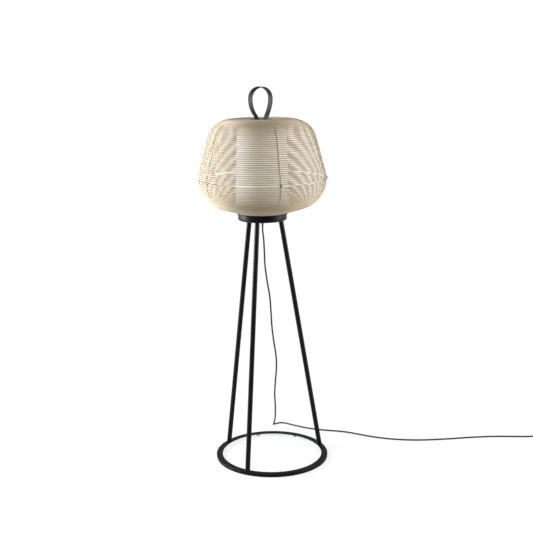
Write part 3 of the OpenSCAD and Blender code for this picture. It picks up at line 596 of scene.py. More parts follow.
def let_through(tree, shader, bump, colour, share):
    """That share of the light scatters through the surface to its far side, tinted by the colour."""
    thin = tree.nodes.new("ShaderNodeBsdfTranslucent")
    tree.links.new(colour, thin.inputs["Color"])
    tree.links.new(bump.outputs["Normal"], thin.inputs["Normal"])
    mix = node(tree, "ShaderNodeMixShader", Fac=share)
    tree.links.new(shader.outputs[0], mix.inputs[1])
    tree.links.new(thin.outputs[0], mix.inputs[2])
    tree.links.new(mix.outputs[0], tree.nodes["Material Output"].inputs["Surface"])


def opal_plastic(name, colour):
    """Frosted opal plastic: part of the light scatters through the wall, with a faint cloudiness."""
    mat, tree, shader = new_finish(name, colour, 0.5)
    tint = toned(tree, shader, noise_at(tree, 22.0, 3.0), colour, 0.97, 1.02)
    bump = bumped(tree, shader, noise_at(tree, 1500.0, 1.0), 0.05, 0.0001)
    let_through(tree, shader, bump, tint, 0.75)
    return mat


def strap_leather(name, colour):
    """Smooth leather: pebbled grain, tone that drifts along the strap and a warm, low shine."""
    mat, tree, shader = new_finish(
        name, colour, 0.5, Specular__IOR__Level=0.08, Specular__Tint=(1.0, 0.93, 0.85, 1))
    grain = node(tree, "ShaderNodeTexVoronoi", Scale=950.0)
    grain.feature = "DISTANCE_TO_EDGE"
    tree.links.new(own_coordinates(tree), grain.inputs["Vector"])
    drift = noise_at(tree, 45.0, 4.0)
    toned(tree, shader, drift, colour, 0.8, 1.25)
    tree.links.new(ranged(tree, drift, 0.44, 0.6), shader.inputs["Roughness"])
    bumped(tree, shader, grain.outputs["Distance"], 0.25, 0.0003)
    return mat


def moulded(name, colour, roughness, grain=600.0, depth=0.00015):
    """Moulded rubber or plastic: fine even grain and a little wear in the tone."""
    mat, tree, shader = new_finish(name, colour, roughness, Specular__IOR__Level=0.3)
    toned(tree, shader, noise_at(tree, 30.0, 3.0), colour, 0.85, 1.2)
    bumped(tree, shader, noise_at(tree, grain, 2.0), 0.2, depth)
    return mat


def plated(name, colour, roughness, stretch=(1, 1, 12)):
    """Zinc or nickel plate and turned brass: metal with fine drawn lines."""
    mat, tree, shader = new_finish(name, colour, roughness, Metallic=1.0)
    lines = noise_at(tree, 260.0, 3.0, stretch)
    tree.links.new(ranged(tree, lines, roughness - 0.08, roughness + 0.1), shader.inputs["Roughness"])
    toned(tree, shader, noise_at(tree, 40.0), colour, 0.9, 1.08)
    bumped(tree, shader, lines, 0.08, 0.0001)
    return mat


def paint_nodes(mat, *names):
    """Gives carried-over CAD nodes a finish."""
    for name in names:
        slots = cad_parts[name].data.materials
        if len(slots):
            slots[0] = mat
        else:
            slots.append(mat)


def finish_of(key, maker, *args):
    """The material of that name, made once."""
    found = bpy.data.materials.get(key)
    return found if found else maker(key, *args)


def black_paint():
    """The paint of the stand and the shade's metal."""
    metal = bpy.context.scene.lamp_metal
    return finish_of("black_powder_paint", painted_metal, tuple(metal.paint_colour), metal.paint_roughness)


def soft_rubber():
    """The rubber of gaskets, boot and strain relief."""
    return finish_of("black_rubber", moulded, (0.018, 0.018, 0.019), 0.62)


def plug_plastic():
    """The black plastic of the plug."""
    return finish_of("plug_moulding", moulded, (0.018, 0.018, 0.019), 0.5)


def zinc_plate():
    """The plate of screws and hidden sheet metal."""
    return finish_of("zinc_plate", plated, (0.55, 0.56, 0.58), 0.38)


def turned_brass():
    """The brass of the electrical contacts."""
    return finish_of("turned_brass", plated, (0.72, 0.53, 0.26), 0.3)


def dress(obj, body, mat, slot_name, *cad_nodes):
    """The piece gets its finish, rides on its body and stands for its CAD nodes."""
    obj.data.materials.append(mat)
    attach(obj, body)
    if cad_nodes:
        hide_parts(*cad_nodes)
    return obj


def make_piece(name, parts, edge, body, mat, slot_name, *cad_nodes):
    """Makes and dresses a piece on which edges sharper than the angle stay sharp."""
    return dress(keep_edges(add_mesh(name, parts), edge), body, mat, slot_name, *cad_nodes)


# Operators


class LAMP_OT_camera(bpy.types.Operator):
    """Sets the camera at the photograph's place: in front, looking down and turned a little"""

    bl_idname = "lamp.camera"
    bl_label = "Camera"

    def execute(self, context):
        stage = context.scene.lamp_stage
        p, r = stage.pitch, stage.roll
        right = Vector((math.cos(r), math.sin(r) * math.sin(p), math.sin(r) * math.cos(p)))
        up = Vector((-math.sin(r), math.cos(r) * math.sin(p), math.cos(r) * math.cos(p)))
        back = right.cross(up)
        data = bpy.data.cameras.new("photo_camera")
        data.sensor_width = SENSOR_MM
        data.lens = SENSOR_MM * FOCAL_PX / FRAME_PX
        data.clip_start, data.clip_end = 0.05, 60
        camera = new_object("photo_camera", data)
        turn = Matrix((right, up, back)).transposed().to_4x4()
        camera.matrix_world = Matrix.Translation((CAMERA_X, -stage.distance, stage.height)) @ turn
        context.scene.camera = camera
        return {"FINISHED"}


class LAMP_OT_plug(bpy.types.Operator):
    """Makes the flat two-pin plug and its ribbed boot at the cable's end"""

    bl_idname = "lamp.plug"
    bl_label = "Plug"

    def execute(self, context):
        end = cable_route()[-1]
        self.boot(end)
        self.body(end)
        self.pins(end)
        return {"FINISHED"}

    def along_x(self, x, r, sides, end):
        """Rings about the plug's own line: point (x, r cos w, r sin w) from the cable's end."""
        w = round_angles(sides)
        r = np.asarray(r)[:, None]
        return np.stack([np.broadcast_to(end[0] + np.asarray(x)[:, None], (len(x), sides)),
                         end[1] + r * np.cos(w), end[2] + r * np.sin(w)], -1)

    def boot(self, end):
        """A cone of radius 3.75 + 1.35 f mm, f from 0 to 1 along it, with grooves 0.45 mm deep where
        cos(7 turns f) is over 0.2. A small ring closes each end."""
        f = np.linspace(0, 1, 85)
        r = (3.75 + 1.35 * f - 0.45 * (np.cos(2 * np.pi * 7 * f) > 0.2)) * MM
        rings = self.along_x(np.concatenate([[0, 0], f * BOOT_LENGTH, [BOOT_LENGTH]]),
                             np.concatenate([[0.0005, 0.0031], r, [0.0005]]), 32, end)
        make_piece("plug_boot_ribbed", [closed_round(rings, (0.1, 1.0), caps=True)], 40,
                   "stand", soft_rubber(), "rubber", "plug_boot")

    def body(self, end):
        """Sections |y / a|^4 + |z / b|^4 = 1 along the plug: a widens from the boot to the pin face, b less.
        Both draw in at the ends, and a has grip ridges over the middle half."""
        count, sides = 60, 64
        f = np.linspace(0, 1, count)
        a = (7.0 + 10.4 * np.sin(np.clip(f / 0.62, 0, 1) * np.pi / 2) ** 1.3) * MM
        b = (5.6 + 1.2 * np.clip(f / 0.35, 0, 1)) * MM
        grip = 0.35 * MM * (np.cos(2 * np.pi * f * 11) > 0) * (f > 0.25) * (f < 0.75)
        ends = np.clip(np.minimum(f / 0.03, (1 - f) / 0.045), 0, 1) ** 0.35
        a, b = (a - grip) * (0.9 + 0.1 * ends), b * (0.86 + 0.14 * ends)
        y, z = squarish_round(sides, 0.5)
        x = end[0] + BOOT_LENGTH + f * PLUG_LENGTH
        rings = np.stack([np.broadcast_to(x[:, None], (count, sides)), end[1] + a[:, None] * y,
                          end[2] + b[:, None] * z], -1)
        make_piece("plug_flat_body", [closed_round(rings, (0.1, 1.0), caps=True)], 45,
                   "stand", plug_plastic(), "plug_black", "plug_body")

    def pins(self, end):
        """Two pins with rounded tips, and a dark sleeve on the half next to the body."""
        apart, length, radius, sides = 0.0093, 0.017, 0.002, 24
        tip = arc((0.0, 0.0), radius, 90, 0, 6)
        pin_x = np.concatenate([[0, 0, length], length + tip[:, 0]])
        pin_r = np.maximum(np.concatenate([[0.0004, 0.0018, radius], tip[:, 1]]), 0.0002)
        sleeve_x = np.array([0, 0, 0.0092, 0.0095, 0.0095]) + 0.00002
        sleeve_r = [0.0004, 0.00196, 0.00196, 0.0018, 0.0004]
        places = [end + [BOOT_LENGTH + PLUG_LENGTH, side * apart, 0] for side in (-1, 1)]
        pins = [closed_round(self.along_x(pin_x, pin_r, sides, at), caps=True) for at in places]
        sleeves = [closed_round(self.along_x(sleeve_x, sleeve_r, sides, at), caps=True) for at in places]
        nickel = finish_of("nickel_plate", plated, (0.70, 0.69, 0.66), 0.22, (8, 1, 1))
        make_piece("plug_round_pins", pins, 50, "stand", nickel, "pin_metal", "plug_pins")
        make_piece("plug_pin_sleeves", sleeves, 50, "stand", plug_plastic(), "plug_black")


class LAMP_OT_cable(bpy.types.Operator):
    """Makes the mains cable, which hangs in gentle waves and runs over the floor to the plug made before"""

    bl_idname = "lamp.cable"
    bl_label = "Cable"

    def execute(self, context):
        route = cable_route()
        path = smooth_route(route, 8)
        rings = carried_tube(path, CABLE_R, 16, first=(0, 0, -1), last=(1, 0, 0), side_hint=(0.35, 0.9, 0.25))
        step = steps_of(path)
        tube = closed_round(rings, (float(step.mean()) / 0.02, 1.0), caps=True)
        sheath = finish_of("cable_sheath", moulded, (0.009, 0.009, 0.0095), 0.5, 300.0, 0.0001)
        cable = make_piece("mains_cable", [tube], 50, "stand", sheath, "cable_black", "power_cable")
        return {"FINISHED"}


class LAMP_OT_stand(bpy.types.Operator):
    """Makes the base ring, its pads, the three legs and the collar"""

    bl_idname = "lamp.stand"
    bl_label = "Base, legs and collar"

    def execute(self, context):
        paint = black_paint()
        ring = turned(self.ring_profile(), 192, (0.1, 12.0), (RING_X, 0), wrap=True)
        make_piece("base_ring_band", [ring], 50, "stand", paint, "black_metal", "base_ring")
        pads = [closed_round(turned_grid(self.pad(), 32, self.pad_place(i)), caps=True) for i in range(6)]
        clear = finish_of("pale_pads", moulded, (0.80, 0.80, 0.78), 0.5)
        make_piece("floor_pads", pads, 50, "stand", clear, "rubber", "base_pads")
        for i, side in enumerate(("right", "left", "front")):
            leg = closed_round(self.leg(i), (0.5, 1.0), caps=True)
            make_piece(f"leg_tube_{side}", [leg], 50, "stand", paint, "black_metal", f"leg_{side}")
        collar = turned(self.pan_profile(), 160, (0.1, 8.0), wrap=True)
        make_piece("collar", [collar], 50, "stand", paint, "black_metal", "collar_pan")
        paint_nodes(zinc_plate(), "leg_plugs_lower", "leg_plugs_upper", "leg_screws_lower",
                    "leg_screws_upper", "plate_pillars", "mounting_plate", "plate_screws", "spring_catches")
        paint_nodes(soft_rubber(), "collar_gasket")
        return {"FINISHED"}

    def ring_profile(self):
        """Section of the ring: a level band whose outer edge turns down into a skirt."""
        under, skirt = BASE_TOP - RING_SHEET, RING_R - RING_SHEET
        corners = [(RING_HOLE_R, under), (skirt, under), (skirt, SKIRT_GAP), (RING_R, SKIRT_GAP),
                   (RING_R, BASE_TOP), (RING_HOLE_R, BASE_TOP)]
        return soft_corners(corners, np.array([0.6, 0.4, 0.8, 0.8, 1.6, 1.0]) * MM)

    def pan_profile(self):
        """Section of the collar's pan: a floor with the cable's hole, and an upright wall."""
        floor, wall = STAND_H + COLLAR_FLOOR, COLLAR_R - COLLAR_WALL
        corners = [(COLLAR_BORE_R, STAND_H), (COLLAR_R, STAND_H), (COLLAR_R, COLLAR_TOP), (wall, COLLAR_TOP),
                   (wall, floor), (COLLAR_BORE_R, floor)]
        return soft_corners(corners, np.array([0.3, 4.0, 0.7, 0.7, 1.0, 0.3]) * MM, 8)

    def pad(self):
        """Half outline of a pad with a rounded lower edge, from its underside to its top."""
        edge = 0.0012
        return np.concatenate([[[0.004, 0.0]], arc((PAD_R - edge, edge), edge, -90, 0, 5),
                               [[PAD_R, BASE_TOP - RING_SHEET]]])

    def pad_place(self, i):
        """Centre of a pad against the skirt: two pads divide each gap between feet in three."""
        start = LEG_FEET[i // 2]
        gap = (LEG_FEET[(i // 2 + 1) % 3] - start) % 360
        a = math.radians(start + gap * (1 + i % 2) / 3)
        play = 0.0003
        r = RING_R - RING_SHEET - PAD_R - play
        return (RING_X + r * math.cos(a), r * math.sin(a))

    def leg(self, i, sides=32):
        """A slanted tube cut level at both ends. The point at angle w is foot + t v + r (cos w n + sin w m):
        n and m are square to the tube's direction v, and t at each end brings it to the cut's height."""
        foot, top = math.radians(LEG_FEET[i]), math.radians(LEG_TOPS[i])
        a = np.array([RING_X + LEG_FOOT_R * math.cos(foot), LEG_FOOT_R * math.sin(foot), BASE_TOP])
        b = np.array([AXIS_X + LEG_TOP_R * math.cos(top), LEG_TOP_R * math.sin(top), STAND_H])
        v = unit_rows(b - a)
        n = unit_rows(np.cross(v, [0.0, 1.0, 0.0]))
        m = np.cross(v, n)
        w = round_angles(sides)
        rim = LEG_R * (np.cos(w)[:, None] * n + np.sin(w)[:, None] * m)
        ends = [(z - (a[2] + rim[:, 2])) / v[2] for z in (BASE_TOP, STAND_H)]
        f = np.linspace(0, 1, 9)[:, None]
        t = ends[0] * (1 - f) + ends[1] * f
        return a + rim[None] + t[..., None] * v


class LAMP_OT_lampholder(bpy.types.Operator):
    """Finishes the lampholder, its wiring and the bulb"""

    bl_idname = "lamp.lampholder"
    bl_label = "Lampholder and bulb"

    def execute(self, context):
        black = finish_of("black_moulding", moulded, (0.022, 0.022, 0.023), 0.4)
        paint_nodes(black, "lampholder_body", "gland_nut")
        paint_nodes(turned_brass(), "lampholder_shell", "centre_contact", "terminal_screws")
        paint_nodes(zinc_plate(), "lampholder_screws")
        paint_nodes(finish_of("white_moulding", moulded, (0.78, 0.76, 0.70), 0.45), "terminal_block")
        paint_nodes(finish_of("blue_core", moulded, (0.05, 0.13, 0.42), 0.45), "supply_wires")
        paint_nodes(finish_of("brown_core", moulded, (0.16, 0.07, 0.03), 0.45), "lamp_wires")
        paint_nodes(soft_rubber(), "inner_lead")
        self.relief()
        self.bulb_cap()
        paint_nodes(turned_brass(), "bulb_contact")
        self.bulb_housing()
        self.bulb_globe()
        return {"FINISHED"}

    def relief(self):
        """A cone with shallow ring grooves, a collar under the pan and a neck through it."""
        low, cone_top, neck_top = 0.866, 0.884, 0.897
        collar_r, neck_r, bore_r = 0.0065, 0.0055, 0.0031
        z = np.linspace(low, cone_top, 55)
        f = (z - low) / (cone_top - low)
        r = 0.0036 + (0.0044 - 0.0036) * f - 0.00018 * (1 + np.cos(2 * np.pi * f * 6.5)) / 2
        profile = np.concatenate([
            np.stack([r, z], -1),
            [[0.0062, 0.8862], [collar_r, 0.8866], [collar_r, STAND_H], [neck_r, STAND_H], [neck_r, neck_top],
             [bore_r, neck_top], [bore_r, low]]])
        make_piece("cable_relief", [turned(profile, 40, (0.1, 1.0), wrap=True)], 50,
                   "stand", soft_rubber(), "rubber", "strain_relief")

    CAP_Z, CAP_H = 0.923, 0.024
    GLOBE_Z = 0.975
    BULB_SIDES = 72

    def bulb_cap(self):
        """The screw cap: its thread follows r = r0 + d cos(2 pi (z / p - a / 360)), fading out at both ends,
        between a flat foot and a plain band."""
        low, top, pitch = self.CAP_Z, self.CAP_Z + self.CAP_H, 0.00362
        a = round_angles(self.BULB_SIDES)
        z = low + np.linspace(0.0015, self.CAP_H - 0.003, 120)
        wave = np.cos(2 * np.pi * ((z[:, None] - low) / pitch - a / (2 * np.pi)))
        fade = np.clip(np.minimum(z - z[0], z[-1] - z) / 0.002, 0, 1)[:, None]
        r = 0.01268 + 0.00045 * wave * fade
        thread = np.stack([AXIS_X + r * np.cos(a), r * np.sin(a), np.broadcast_to(z[:, None], r.shape)], -1)
        foot = turned_grid([(0.0, low), (0.0115, low), (0.0124, low + 0.0008)], self.BULB_SIDES)
        band = turned_grid([(0.0131, top - 0.002), (0.0131, top), (0.0, top)], self.BULB_SIDES)
        cap = closed_round(np.concatenate([foot, thread, band]), (0.1, 1.0))
        nickel = finish_of("cap_plate", plated, (0.72, 0.73, 0.75), 0.28, (1, 1, 1))
        make_piece("bulb_screw_cap", [cap], 60, "bulb", nickel, "cap_metal", "bulb_cap")

    def bulb_housing(self):
        """The housing flares from the cap's band to the globe, closed at both ends."""
        waist, rim, low = (0.0151, 0.951), (0.0290, 0.9735), 0.947
        profile = np.concatenate([
            [[0.0, low], [0.0139, low], [0.0146, 0.9478], waist], flared_line(waist, rim, 12),
            [[0.0292, self.GLOBE_Z], [0.0, self.GLOBE_Z]]])
        white = finish_of("bulb_housing_plastic", moulded, (0.86, 0.86, 0.83), 0.4)
        make_piece("bulb_body", [turned(profile, self.BULB_SIDES, (0.1, 1.0))], 50,
                   "bulb", white, "bulb_white", "bulb_housing")

    def bulb_globe(self):
        """The globe: a half circle over short slanted sides, as an outer and an inner skin."""
        outer_r, inner_r, centre = 0.030, 0.0285, (0, self.GLOBE_Z + 0.025)
        profile = np.concatenate([
            [[0.0292, self.GLOBE_Z], [0.0298, 0.978], [outer_r, 0.983]], arc(centre, outer_r, 0, 90, 24),
            arc(centre, inner_r, 90, 0, 24), [[inner_r, 0.983], [0.0277, self.GLOBE_Z]]])
        opal = finish_of("globe_opal", opal_plastic, (0.88, 0.87, 0.83))
        make_piece("bulb_opal_globe", [turned(profile, self.BULB_SIDES, (0.1, 1.0), wrap=True)], 60,
                   "bulb", opal, "bulb_opal", "bulb_globe")


class LAMP_OT_diffuser(bpy.types.Operator):
    """Makes the opal diffuser inside the shade"""

    bl_idname = "lamp.diffuser"
    bl_label = "Diffuser"

    def execute(self, context):
        opal = finish_of("opal_plastic", opal_plastic, tuple(context.scene.lamp_shade.opal_colour))
        make_piece("opal_diffuser", [turned(self.profile(), 128, (0.2, 4.0))], 40,
                   "shade", opal, "opal", "diffuser")
        paint_nodes(soft_rubber(), "diffuser_gasket")
        paint_nodes(zinc_plate(), "diffuser_screws")
        return {"FINISHED"}

    def profile(self):
        """Half outline of the drum: its outer skin from the middle of the top to the foot's flange, and its
        inner skin back to the middle."""
        low_r, top_r, neck_r = 0.095, 0.086, 0.0825
        foot = SHADE_Z + 0.001
        under, top = foot + 0.017, foot + 0.299
        crown, bend, wall = 0.014, 0.008, 0.002
        flange_r, flange_top = neck_r - 0.012, foot + 0.0025

        def skin(d):
            """One skin from the middle of the top to the neck, a depth d inside the drum's outside."""
            return np.concatenate([
                [[0, top - d]],
                arc((top_r - crown, top - crown), crown - d, 90, 0, 12),
                arc((low_r - bend, under + bend), bend - d, 0, -90, 8),
                [[neck_r - d, under + d]],
            ])

        return np.concatenate([
            skin(0.0),
            [[neck_r, foot], [flange_r, foot], [flange_r, flange_top], [neck_r - wall, flange_top]],
            skin(wall)[::-1]])


class LAMP_OT_shade_fittings(bpy.types.Operator):
    """Makes the hoop at the shade's foot and the ring at its mouth, and finishes the seat plate, the lid and
    their fittings
    """

    bl_idname = "lamp.shade_fittings"
    bl_label = "Hoops and lid"

    def execute(self, context):
        paint = black_paint()
        inner_r, hoop_top = 0.084, SHADE_Z + 0.012
        hoop = soft_corners([(inner_r, SHADE_Z), (FOOT_R, SHADE_Z), (FOOT_R, hoop_top), (inner_r, hoop_top)],
                            0.0008)
        make_piece("foot_hoop_band", [turned(hoop, 128, (0.1, 8.0), wrap=True)], 50,
                   "shade", paint, "black_metal", "foot_hoop")
        low, top = SHADE_TOP - 0.0095, SHADE_TOP - 0.001
        ledge_r, lid_r = 0.0327, 0.0383
        mouth = soft_corners([(ledge_r, low), (MOUTH_R, low), (MOUTH_R, top), (lid_r, top), (lid_r, LID_Z),
                              (ledge_r, LID_Z)], 0.0006)
        make_piece("mouth_ring_band", [turned(mouth, 96, (0.1, 6.0), wrap=True)], 50,
                   "shade", paint, "black_metal", "mouth_ring")
        paint_nodes(paint, "seat_plate", "lid")
        paint_nodes(finish_of("black_screws", plated, (0.05, 0.05, 0.055), 0.4), "lid_screws")
        paint_nodes(zinc_plate(), "strap_anchor", "strap_rivets")
        return {"FINISHED"}


class LAMP_OT_ribs(bpy.types.Operator):
    """Finishes the ribs and makes the lashing and the ties that hold the cord to them"""

    bl_idname = "lamp.ribs"
    bl_label = "Ribs, lashing and ties"

    def execute(self, context):
        shade = context.scene.lamp_shade
        brown = finish_of("brown_lashing", twisted_cord, tuple(shade.lashing_colour), 3.0, 0.05)
        paint_nodes(finish_of("rib_paint", painted_metal, (0.56, 0.47, 0.34), 0.5),
                    *(f"rib_{i + 1}" for i in range(RIB_COUNT)))
        angles = np.radians(RIB_TURN + 360 / RIB_COUNT * np.arange(RIB_COUNT))
        half = shade.seam_gap / 2
        spans = ((LASH_START, SEAM_S - half), (SEAM_S + half, LASH_END))
        lashes = [closed_round(self.lash(*span, shade, a), (0.6, 1.0), caps=True)
                  for a in angles for span in spans]
        dress(add_mesh("rib_lashing", lashes), "shade", brown, "tie_tan")
        knots = [closed_round(self.knot(a), (0.4, 3.0), caps=True) for a in angles]
        tan = finish_of("brown_ties", twisted_cord, tuple(shade.tie_colour), 3.0, 0.05)
        dress(add_mesh("rib_ties_wrapped", knots), "shade", tan, "tie_tan", "rib_ties")
        return {"FINISHED"}

    def lash(self, start, end, shade, a):
        """A thin cord over the rows, eight points to a row. Its middle waves with the rows: it lies proud of
        the outline over each row, and sinks by its own radius between rows."""
        first, last, rows = winding_span(shade, start < SEAM_S)
        pitch = (last - first) / (rows - 1)
        s = np.linspace(start, end, int((end - start) / pitch * 8))
        depth = -LASH_PROUD + LASH_R * (1 - np.cos(2 * np.pi * (s - first) / pitch)) / 2
        r, z = on_outline(s, depth)
        path = np.stack([AXIS_X + r * math.cos(a), r * math.sin(a), z], -1)
        return carried_tube(path, LASH_R, 6, side_hint=(-math.sin(a), math.cos(a), 0))

    def knot(self, a):
        """A tie: a squarish pad, wrapped crosswise. Ring i of the pad lies at height h and has the outline
        |x / p|^(10/3) + |y / q|^(10/3) = 1, with p and q drawn in to the ends and ridged by the wraps."""
        length, width, depth, proud = 0.0064, 0.0046, 0.0019, 0.0018
        h = np.linspace(-1, 1, 28)
        grow = (1 - np.abs(h) ** 5) ** 0.2 * (1 + 0.035 * np.cos(h * np.pi * 9))
        grow[[0, -1]] = 0.45
        x, y = squarish_round(20, 0.6)
        out = proud + depth * grow[:, None] * x
        side = width * grow[:, None] * y
        along = (h * length)[:, None]
        r0, z0 = on_outline(np.array([SEAM_S, SEAM_S + 0.001]), 0.0)
        down = unit_rows(np.array([r0[1] - r0[0], z0[1] - z0[0]]))
        rr = r0[0] + down[0] * along - down[1] * out
        zz = z0[0] + down[1] * along + down[0] * out
        return np.stack([AXIS_X + rr * math.cos(a) - side * math.sin(a),
                         rr * math.sin(a) + side * math.cos(a), zz], -1)


class LAMP_OT_winding(bpy.types.Operator):
    """Winds the cord over the ribs, above and below the seam"""

    bl_idname = "lamp.winding"
    bl_label = "Wound cord"

    def execute(self, context):
        shade = context.scene.lamp_shade
        mat = finish_of("cream_cord", twisted_cord, tuple(shade.cord_colour), 2.0, 0.15, 0.5)
        for name, replaced, above in (
            ("winding_above_seam", "winding_upper", True), ("winding_below_seam", "winding_lower", False),
        ):
            rings, step = wound_cord(*winding_span(shade, above), shade.cord)
            make_piece(name, [closed_round(rings, (step / TWIST, 1.0), caps=True)], 60,
                       "shade", mat, "cord_cream", replaced)
        return {"FINISHED"}


class LAMP_OT_strap(bpy.types.Operator):
    """Makes the leather strap loop on the lid, which sags a little to the left"""

    bl_idname = "lamp.strap"
    bl_label = "Strap"

    def execute(self, context):
        metal = context.scene.lamp_metal
        leather = finish_of("strap_leather", strap_leather, tuple(metal.strap_colour))
        strap = closed_round(self.band(metal.strap_width / 2), (0.1, 1.0), caps=True)
        make_piece("strap_loop", [strap], 60, "shade", leather, "strap_dark", "strap")
        return {"FINISHED"}

    def band(self, half):
        """The strap's rounded section, crowned by c (1 - (x / half)^2), carried along its middle line and
        turned about the lid's centre. Above the lid it leans by the smooth 3f^2 - 2f^3 of the way f up."""
        thick, edge, crown, turn = 0.0014, 0.0011, 0.00035, math.radians(28)
        bend, aside = 0.045, 0.0026
        line = self.line()
        t = unit_rows(np.gradient(line, axis=0))
        out = np.stack([t[:, 1], -t[:, 0]], -1)
        section = soft_corners([(-half, -thick), (half, -thick), (half, thick), (-half, thick)], edge, 5)
        across = section[:, 0]
        off = section[:, 1] + crown * (1 - (across / half) ** 2) * np.sign(section[:, 1])
        flat = line[:, None] + off[None, :, None] * out[:, None]
        u, z = flat[..., 0], flat[..., 1]
        v = np.broadcast_to(across, u.shape)
        rise = np.clip((z - LID_Z) / bend, 0, 1)
        lean = aside * rise * rise * (3 - 2 * rise)
        return np.stack([AXIS_X - lean + u * math.cos(turn) - v * math.sin(turn),
                         u * math.sin(turn) + v * math.cos(turn), z], -1)

    def line(self):
        """The strap's middle line as offset and height: straight from under the lid, a bend outwards, a bend
        back to upright and a half circle over the top, then the same again mirrored."""
        foot, root, side, flare = 0.0176, 0.036, 0.106, 32.0
        low = LID_Z - 0.016
        f = math.radians(flare)
        end = (foot + root * (1 - math.cos(f)), LID_Z + root * math.sin(f))
        reach = end[0] + side * (1 - math.cos(f))
        mid = end[1] + side * math.sin(f)
        right = np.concatenate([
            np.stack([np.full(5, foot), np.linspace(low, LID_Z, 5)], -1)[:-1],
            arc((foot + root, LID_Z), root, 180, 180 - flare, 12),
            arc((reach - side, mid), side, -flare, 0, 16)[1:],
            arc((0, mid), reach, 0, 90, 30)[1:],
        ])
        return np.concatenate([right, right[-2::-1] * [-1, 1]])


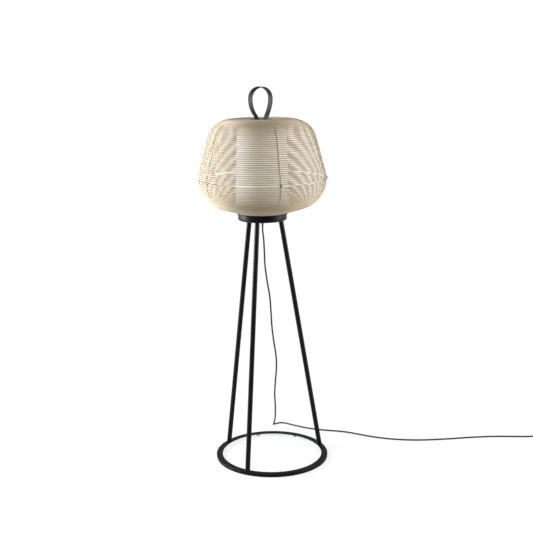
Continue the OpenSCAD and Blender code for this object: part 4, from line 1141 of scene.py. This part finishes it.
class LAMP_OT_studio(bpy.types.Operator):
    """Lays the pale floor and sets the soft studio light"""

    bl_idname = "lamp.studio"
    bl_label = "Studio"

    FLOOR_HALF = 30.0
    LIGHT_AIM = (0, 0, 0.8)

    def execute(self, context):
        stage = context.scene.lamp_stage
        self.floor()
        self.world(context, stage.sky, stage.backdrop)
        self.light("key_light", (-2.6, 0.2, 1.4), 1.6, stage.key_power, (0.89, 0.926, 1.0))
        self.light("fill_light", (2.6, -0.3, 1.5), 1.9, stage.fill_power, (0.942, 0.962, 1.0))
        self.light("front_light", (-0.9, -3.5, 1.75), 1.5, stage.front_power, (1.0, 1.0, 1.0))
        context.scene.view_settings.view_transform = "Standard"
        return {"FINISHED"}

    def floor(self):
        """A level floor. What the camera sees of it is white, with the lamp's shadow kept: its glow grows
        with the distance from the lamp, where the lights reach less."""
        h = self.FLOOR_HALF
        mesh = bpy.data.meshes.new("studio_floor")
        mesh.from_pydata([(-h, -h, 0), (h, -h, 0), (h, h, 0), (-h, h, 0)], [], [(0, 1, 2, 3)])
        mat = bpy.data.materials.new("pale_floor")
        mat.use_nodes = True
        tree = mat.node_tree
        tree.nodes.clear()
        coords = own_coordinates(tree)
        reach = node(tree, "ShaderNodeVectorMath")
        reach.operation = "LENGTH"
        tree.links.new(coords, reach.inputs[0])
        lift = ranged(tree, reach.outputs["Value"], 0.81, 1.0, 0.4, 4.4)
        seen = background_rays(tree, ranged(tree, split(tree, coords)["Y"], 0.0, 1.0, -0.1, 0.9))
        diffuse = tree.nodes.new("ShaderNodeBsdfDiffuse")
        tree.links.new(ranged(tree, seen, 0.42, 0.10, 0.0, 1.0), diffuse.inputs["Color"])
        glow = node(tree, "ShaderNodeEmission", Color=(1, 1, 1, 1))
        tree.links.new(calculated(tree, "MULTIPLY", lift, seen), glow.inputs["Strength"])
        both = tree.nodes.new("ShaderNodeAddShader")
        out = tree.nodes.new("ShaderNodeOutputMaterial")
        tree.links.new(diffuse.outputs[0], both.inputs[0])
        tree.links.new(glow.outputs[0], both.inputs[1])
        tree.links.new(both.outputs[0], out.inputs["Surface"])
        mesh.materials.append(mat)
        floor = new_object("studio_floor", mesh)

    def world(self, context, sky, back):
        """The sky lights the lamp at its own strength, with more from the backdrop low behind it. To the
        camera, and in reflections of the backdrop, it is plain white."""
        world = bpy.data.worlds.new("studio_sky")
        context.scene.world = world
        world.use_nodes = True
        tree = world.node_tree
        tree.nodes.clear()
        place = split(tree, own_coordinates(tree))
        backdrop = calculated(tree, "MULTIPLY", ranged(tree, place["Y"], 0.0, 1.0, -0.2, 0.35),
                              ranged(tree, place["Z"], 1.0, 0.0, 0.08, 0.36))
        path = tree.nodes.new("ShaderNodeLightPath")
        matt = ranged(tree, path.outputs["Is Glossy Ray"], 1.0, 0.0, 0.0, 1.0)
        scattered = calculated(tree, "MULTIPLY", backdrop, matt)
        level = tree.nodes.new("ShaderNodeMix")
        tree.links.new(background_rays(tree, backdrop), level.inputs["Factor"])
        tree.links.new(ranged(tree, scattered, sky, back, 0.0, 1.0), level.inputs["A"])
        level.inputs["B"].default_value = 1.0
        glow = node(tree, "ShaderNodeBackground", Color=(1, 1, 1, 1))
        tree.links.new(level.outputs["Result"], glow.inputs["Strength"])
        out = tree.nodes.new("ShaderNodeOutputWorld")
        tree.links.new(glow.outputs[0], out.inputs["Surface"])

    def light(self, name, place, size, power, colour):
        """A square soft light that faces the middle of the lamp."""
        data = bpy.data.lights.new(name, "AREA")
        data.size = size
        data.energy = power
        data.color = colour
        light = new_object(name, data)
        light.location = place
        light.rotation_euler = (Vector(self.LIGHT_AIM) - Vector(place)).to_track_quat("-Z", "Y").to_euler()
        light.visible_camera = False


OPERATORS = (
    LAMP_OT_camera, LAMP_OT_plug, LAMP_OT_cable, LAMP_OT_stand, LAMP_OT_lampholder, LAMP_OT_diffuser,
    LAMP_OT_shade_fittings, LAMP_OT_ribs, LAMP_OT_winding, LAMP_OT_strap, LAMP_OT_studio,
)
SETTINGS = {"lamp_shade": LampShadeSettings, "lamp_metal": LampMetalSettings, "lamp_stage": LampStageSettings}


class LAMP_PT_panel(bpy.types.Panel):
    """Lists the lamp's settings and steps in the sidebar"""

    bl_idname = "LAMP_PT_panel"
    bl_label = "Outdoor Floor Lamp"
    bl_space_type = "VIEW_3D"
    bl_region_type = "UI"
    bl_category = "Lamp"

    def draw(self, context):
        """A box for each group of settings, then a button for each step, in the order they are run."""
        layout = self.layout
        for group in (getattr(context.scene, name) for name in SETTINGS):
            box = layout.box()
            for name in group.__annotations__:
                box.prop(group, name)
        column = layout.column(align=True)
        for operator in OPERATORS:
            column.operator(operator.bl_idname)


CLASSES = (*SETTINGS.values(), *OPERATORS, LAMP_PT_panel)


def register():
    """Registers every class and hangs the settings on the scene."""
    for cls in CLASSES:
        bpy.utils.register_class(cls)
    for name, cls in SETTINGS.items():
        setattr(bpy.types.Scene, name, bpy.props.PointerProperty(type=cls))


def unregister():
    """Takes the settings and the classes away again, last ones first."""
    for name in reversed(SETTINGS):
        delattr(bpy.types.Scene, name)
    for cls in reversed(CLASSES):
        bpy.utils.unregister_class(cls)


def main():
    """Runs every step in order."""
    register()
    bpy.ops.lamp.camera()
    bpy.ops.lamp.plug()
    bpy.ops.lamp.cable()
    bpy.ops.lamp.stand()
    bpy.ops.lamp.lampholder()
    bpy.ops.lamp.diffuser()
    bpy.ops.lamp.shade_fittings()
    bpy.ops.lamp.ribs()
    bpy.ops.lamp.winding()
    bpy.ops.lamp.strap()
    bpy.ops.lamp.studio()


if __name__ == "__main__":
    main()
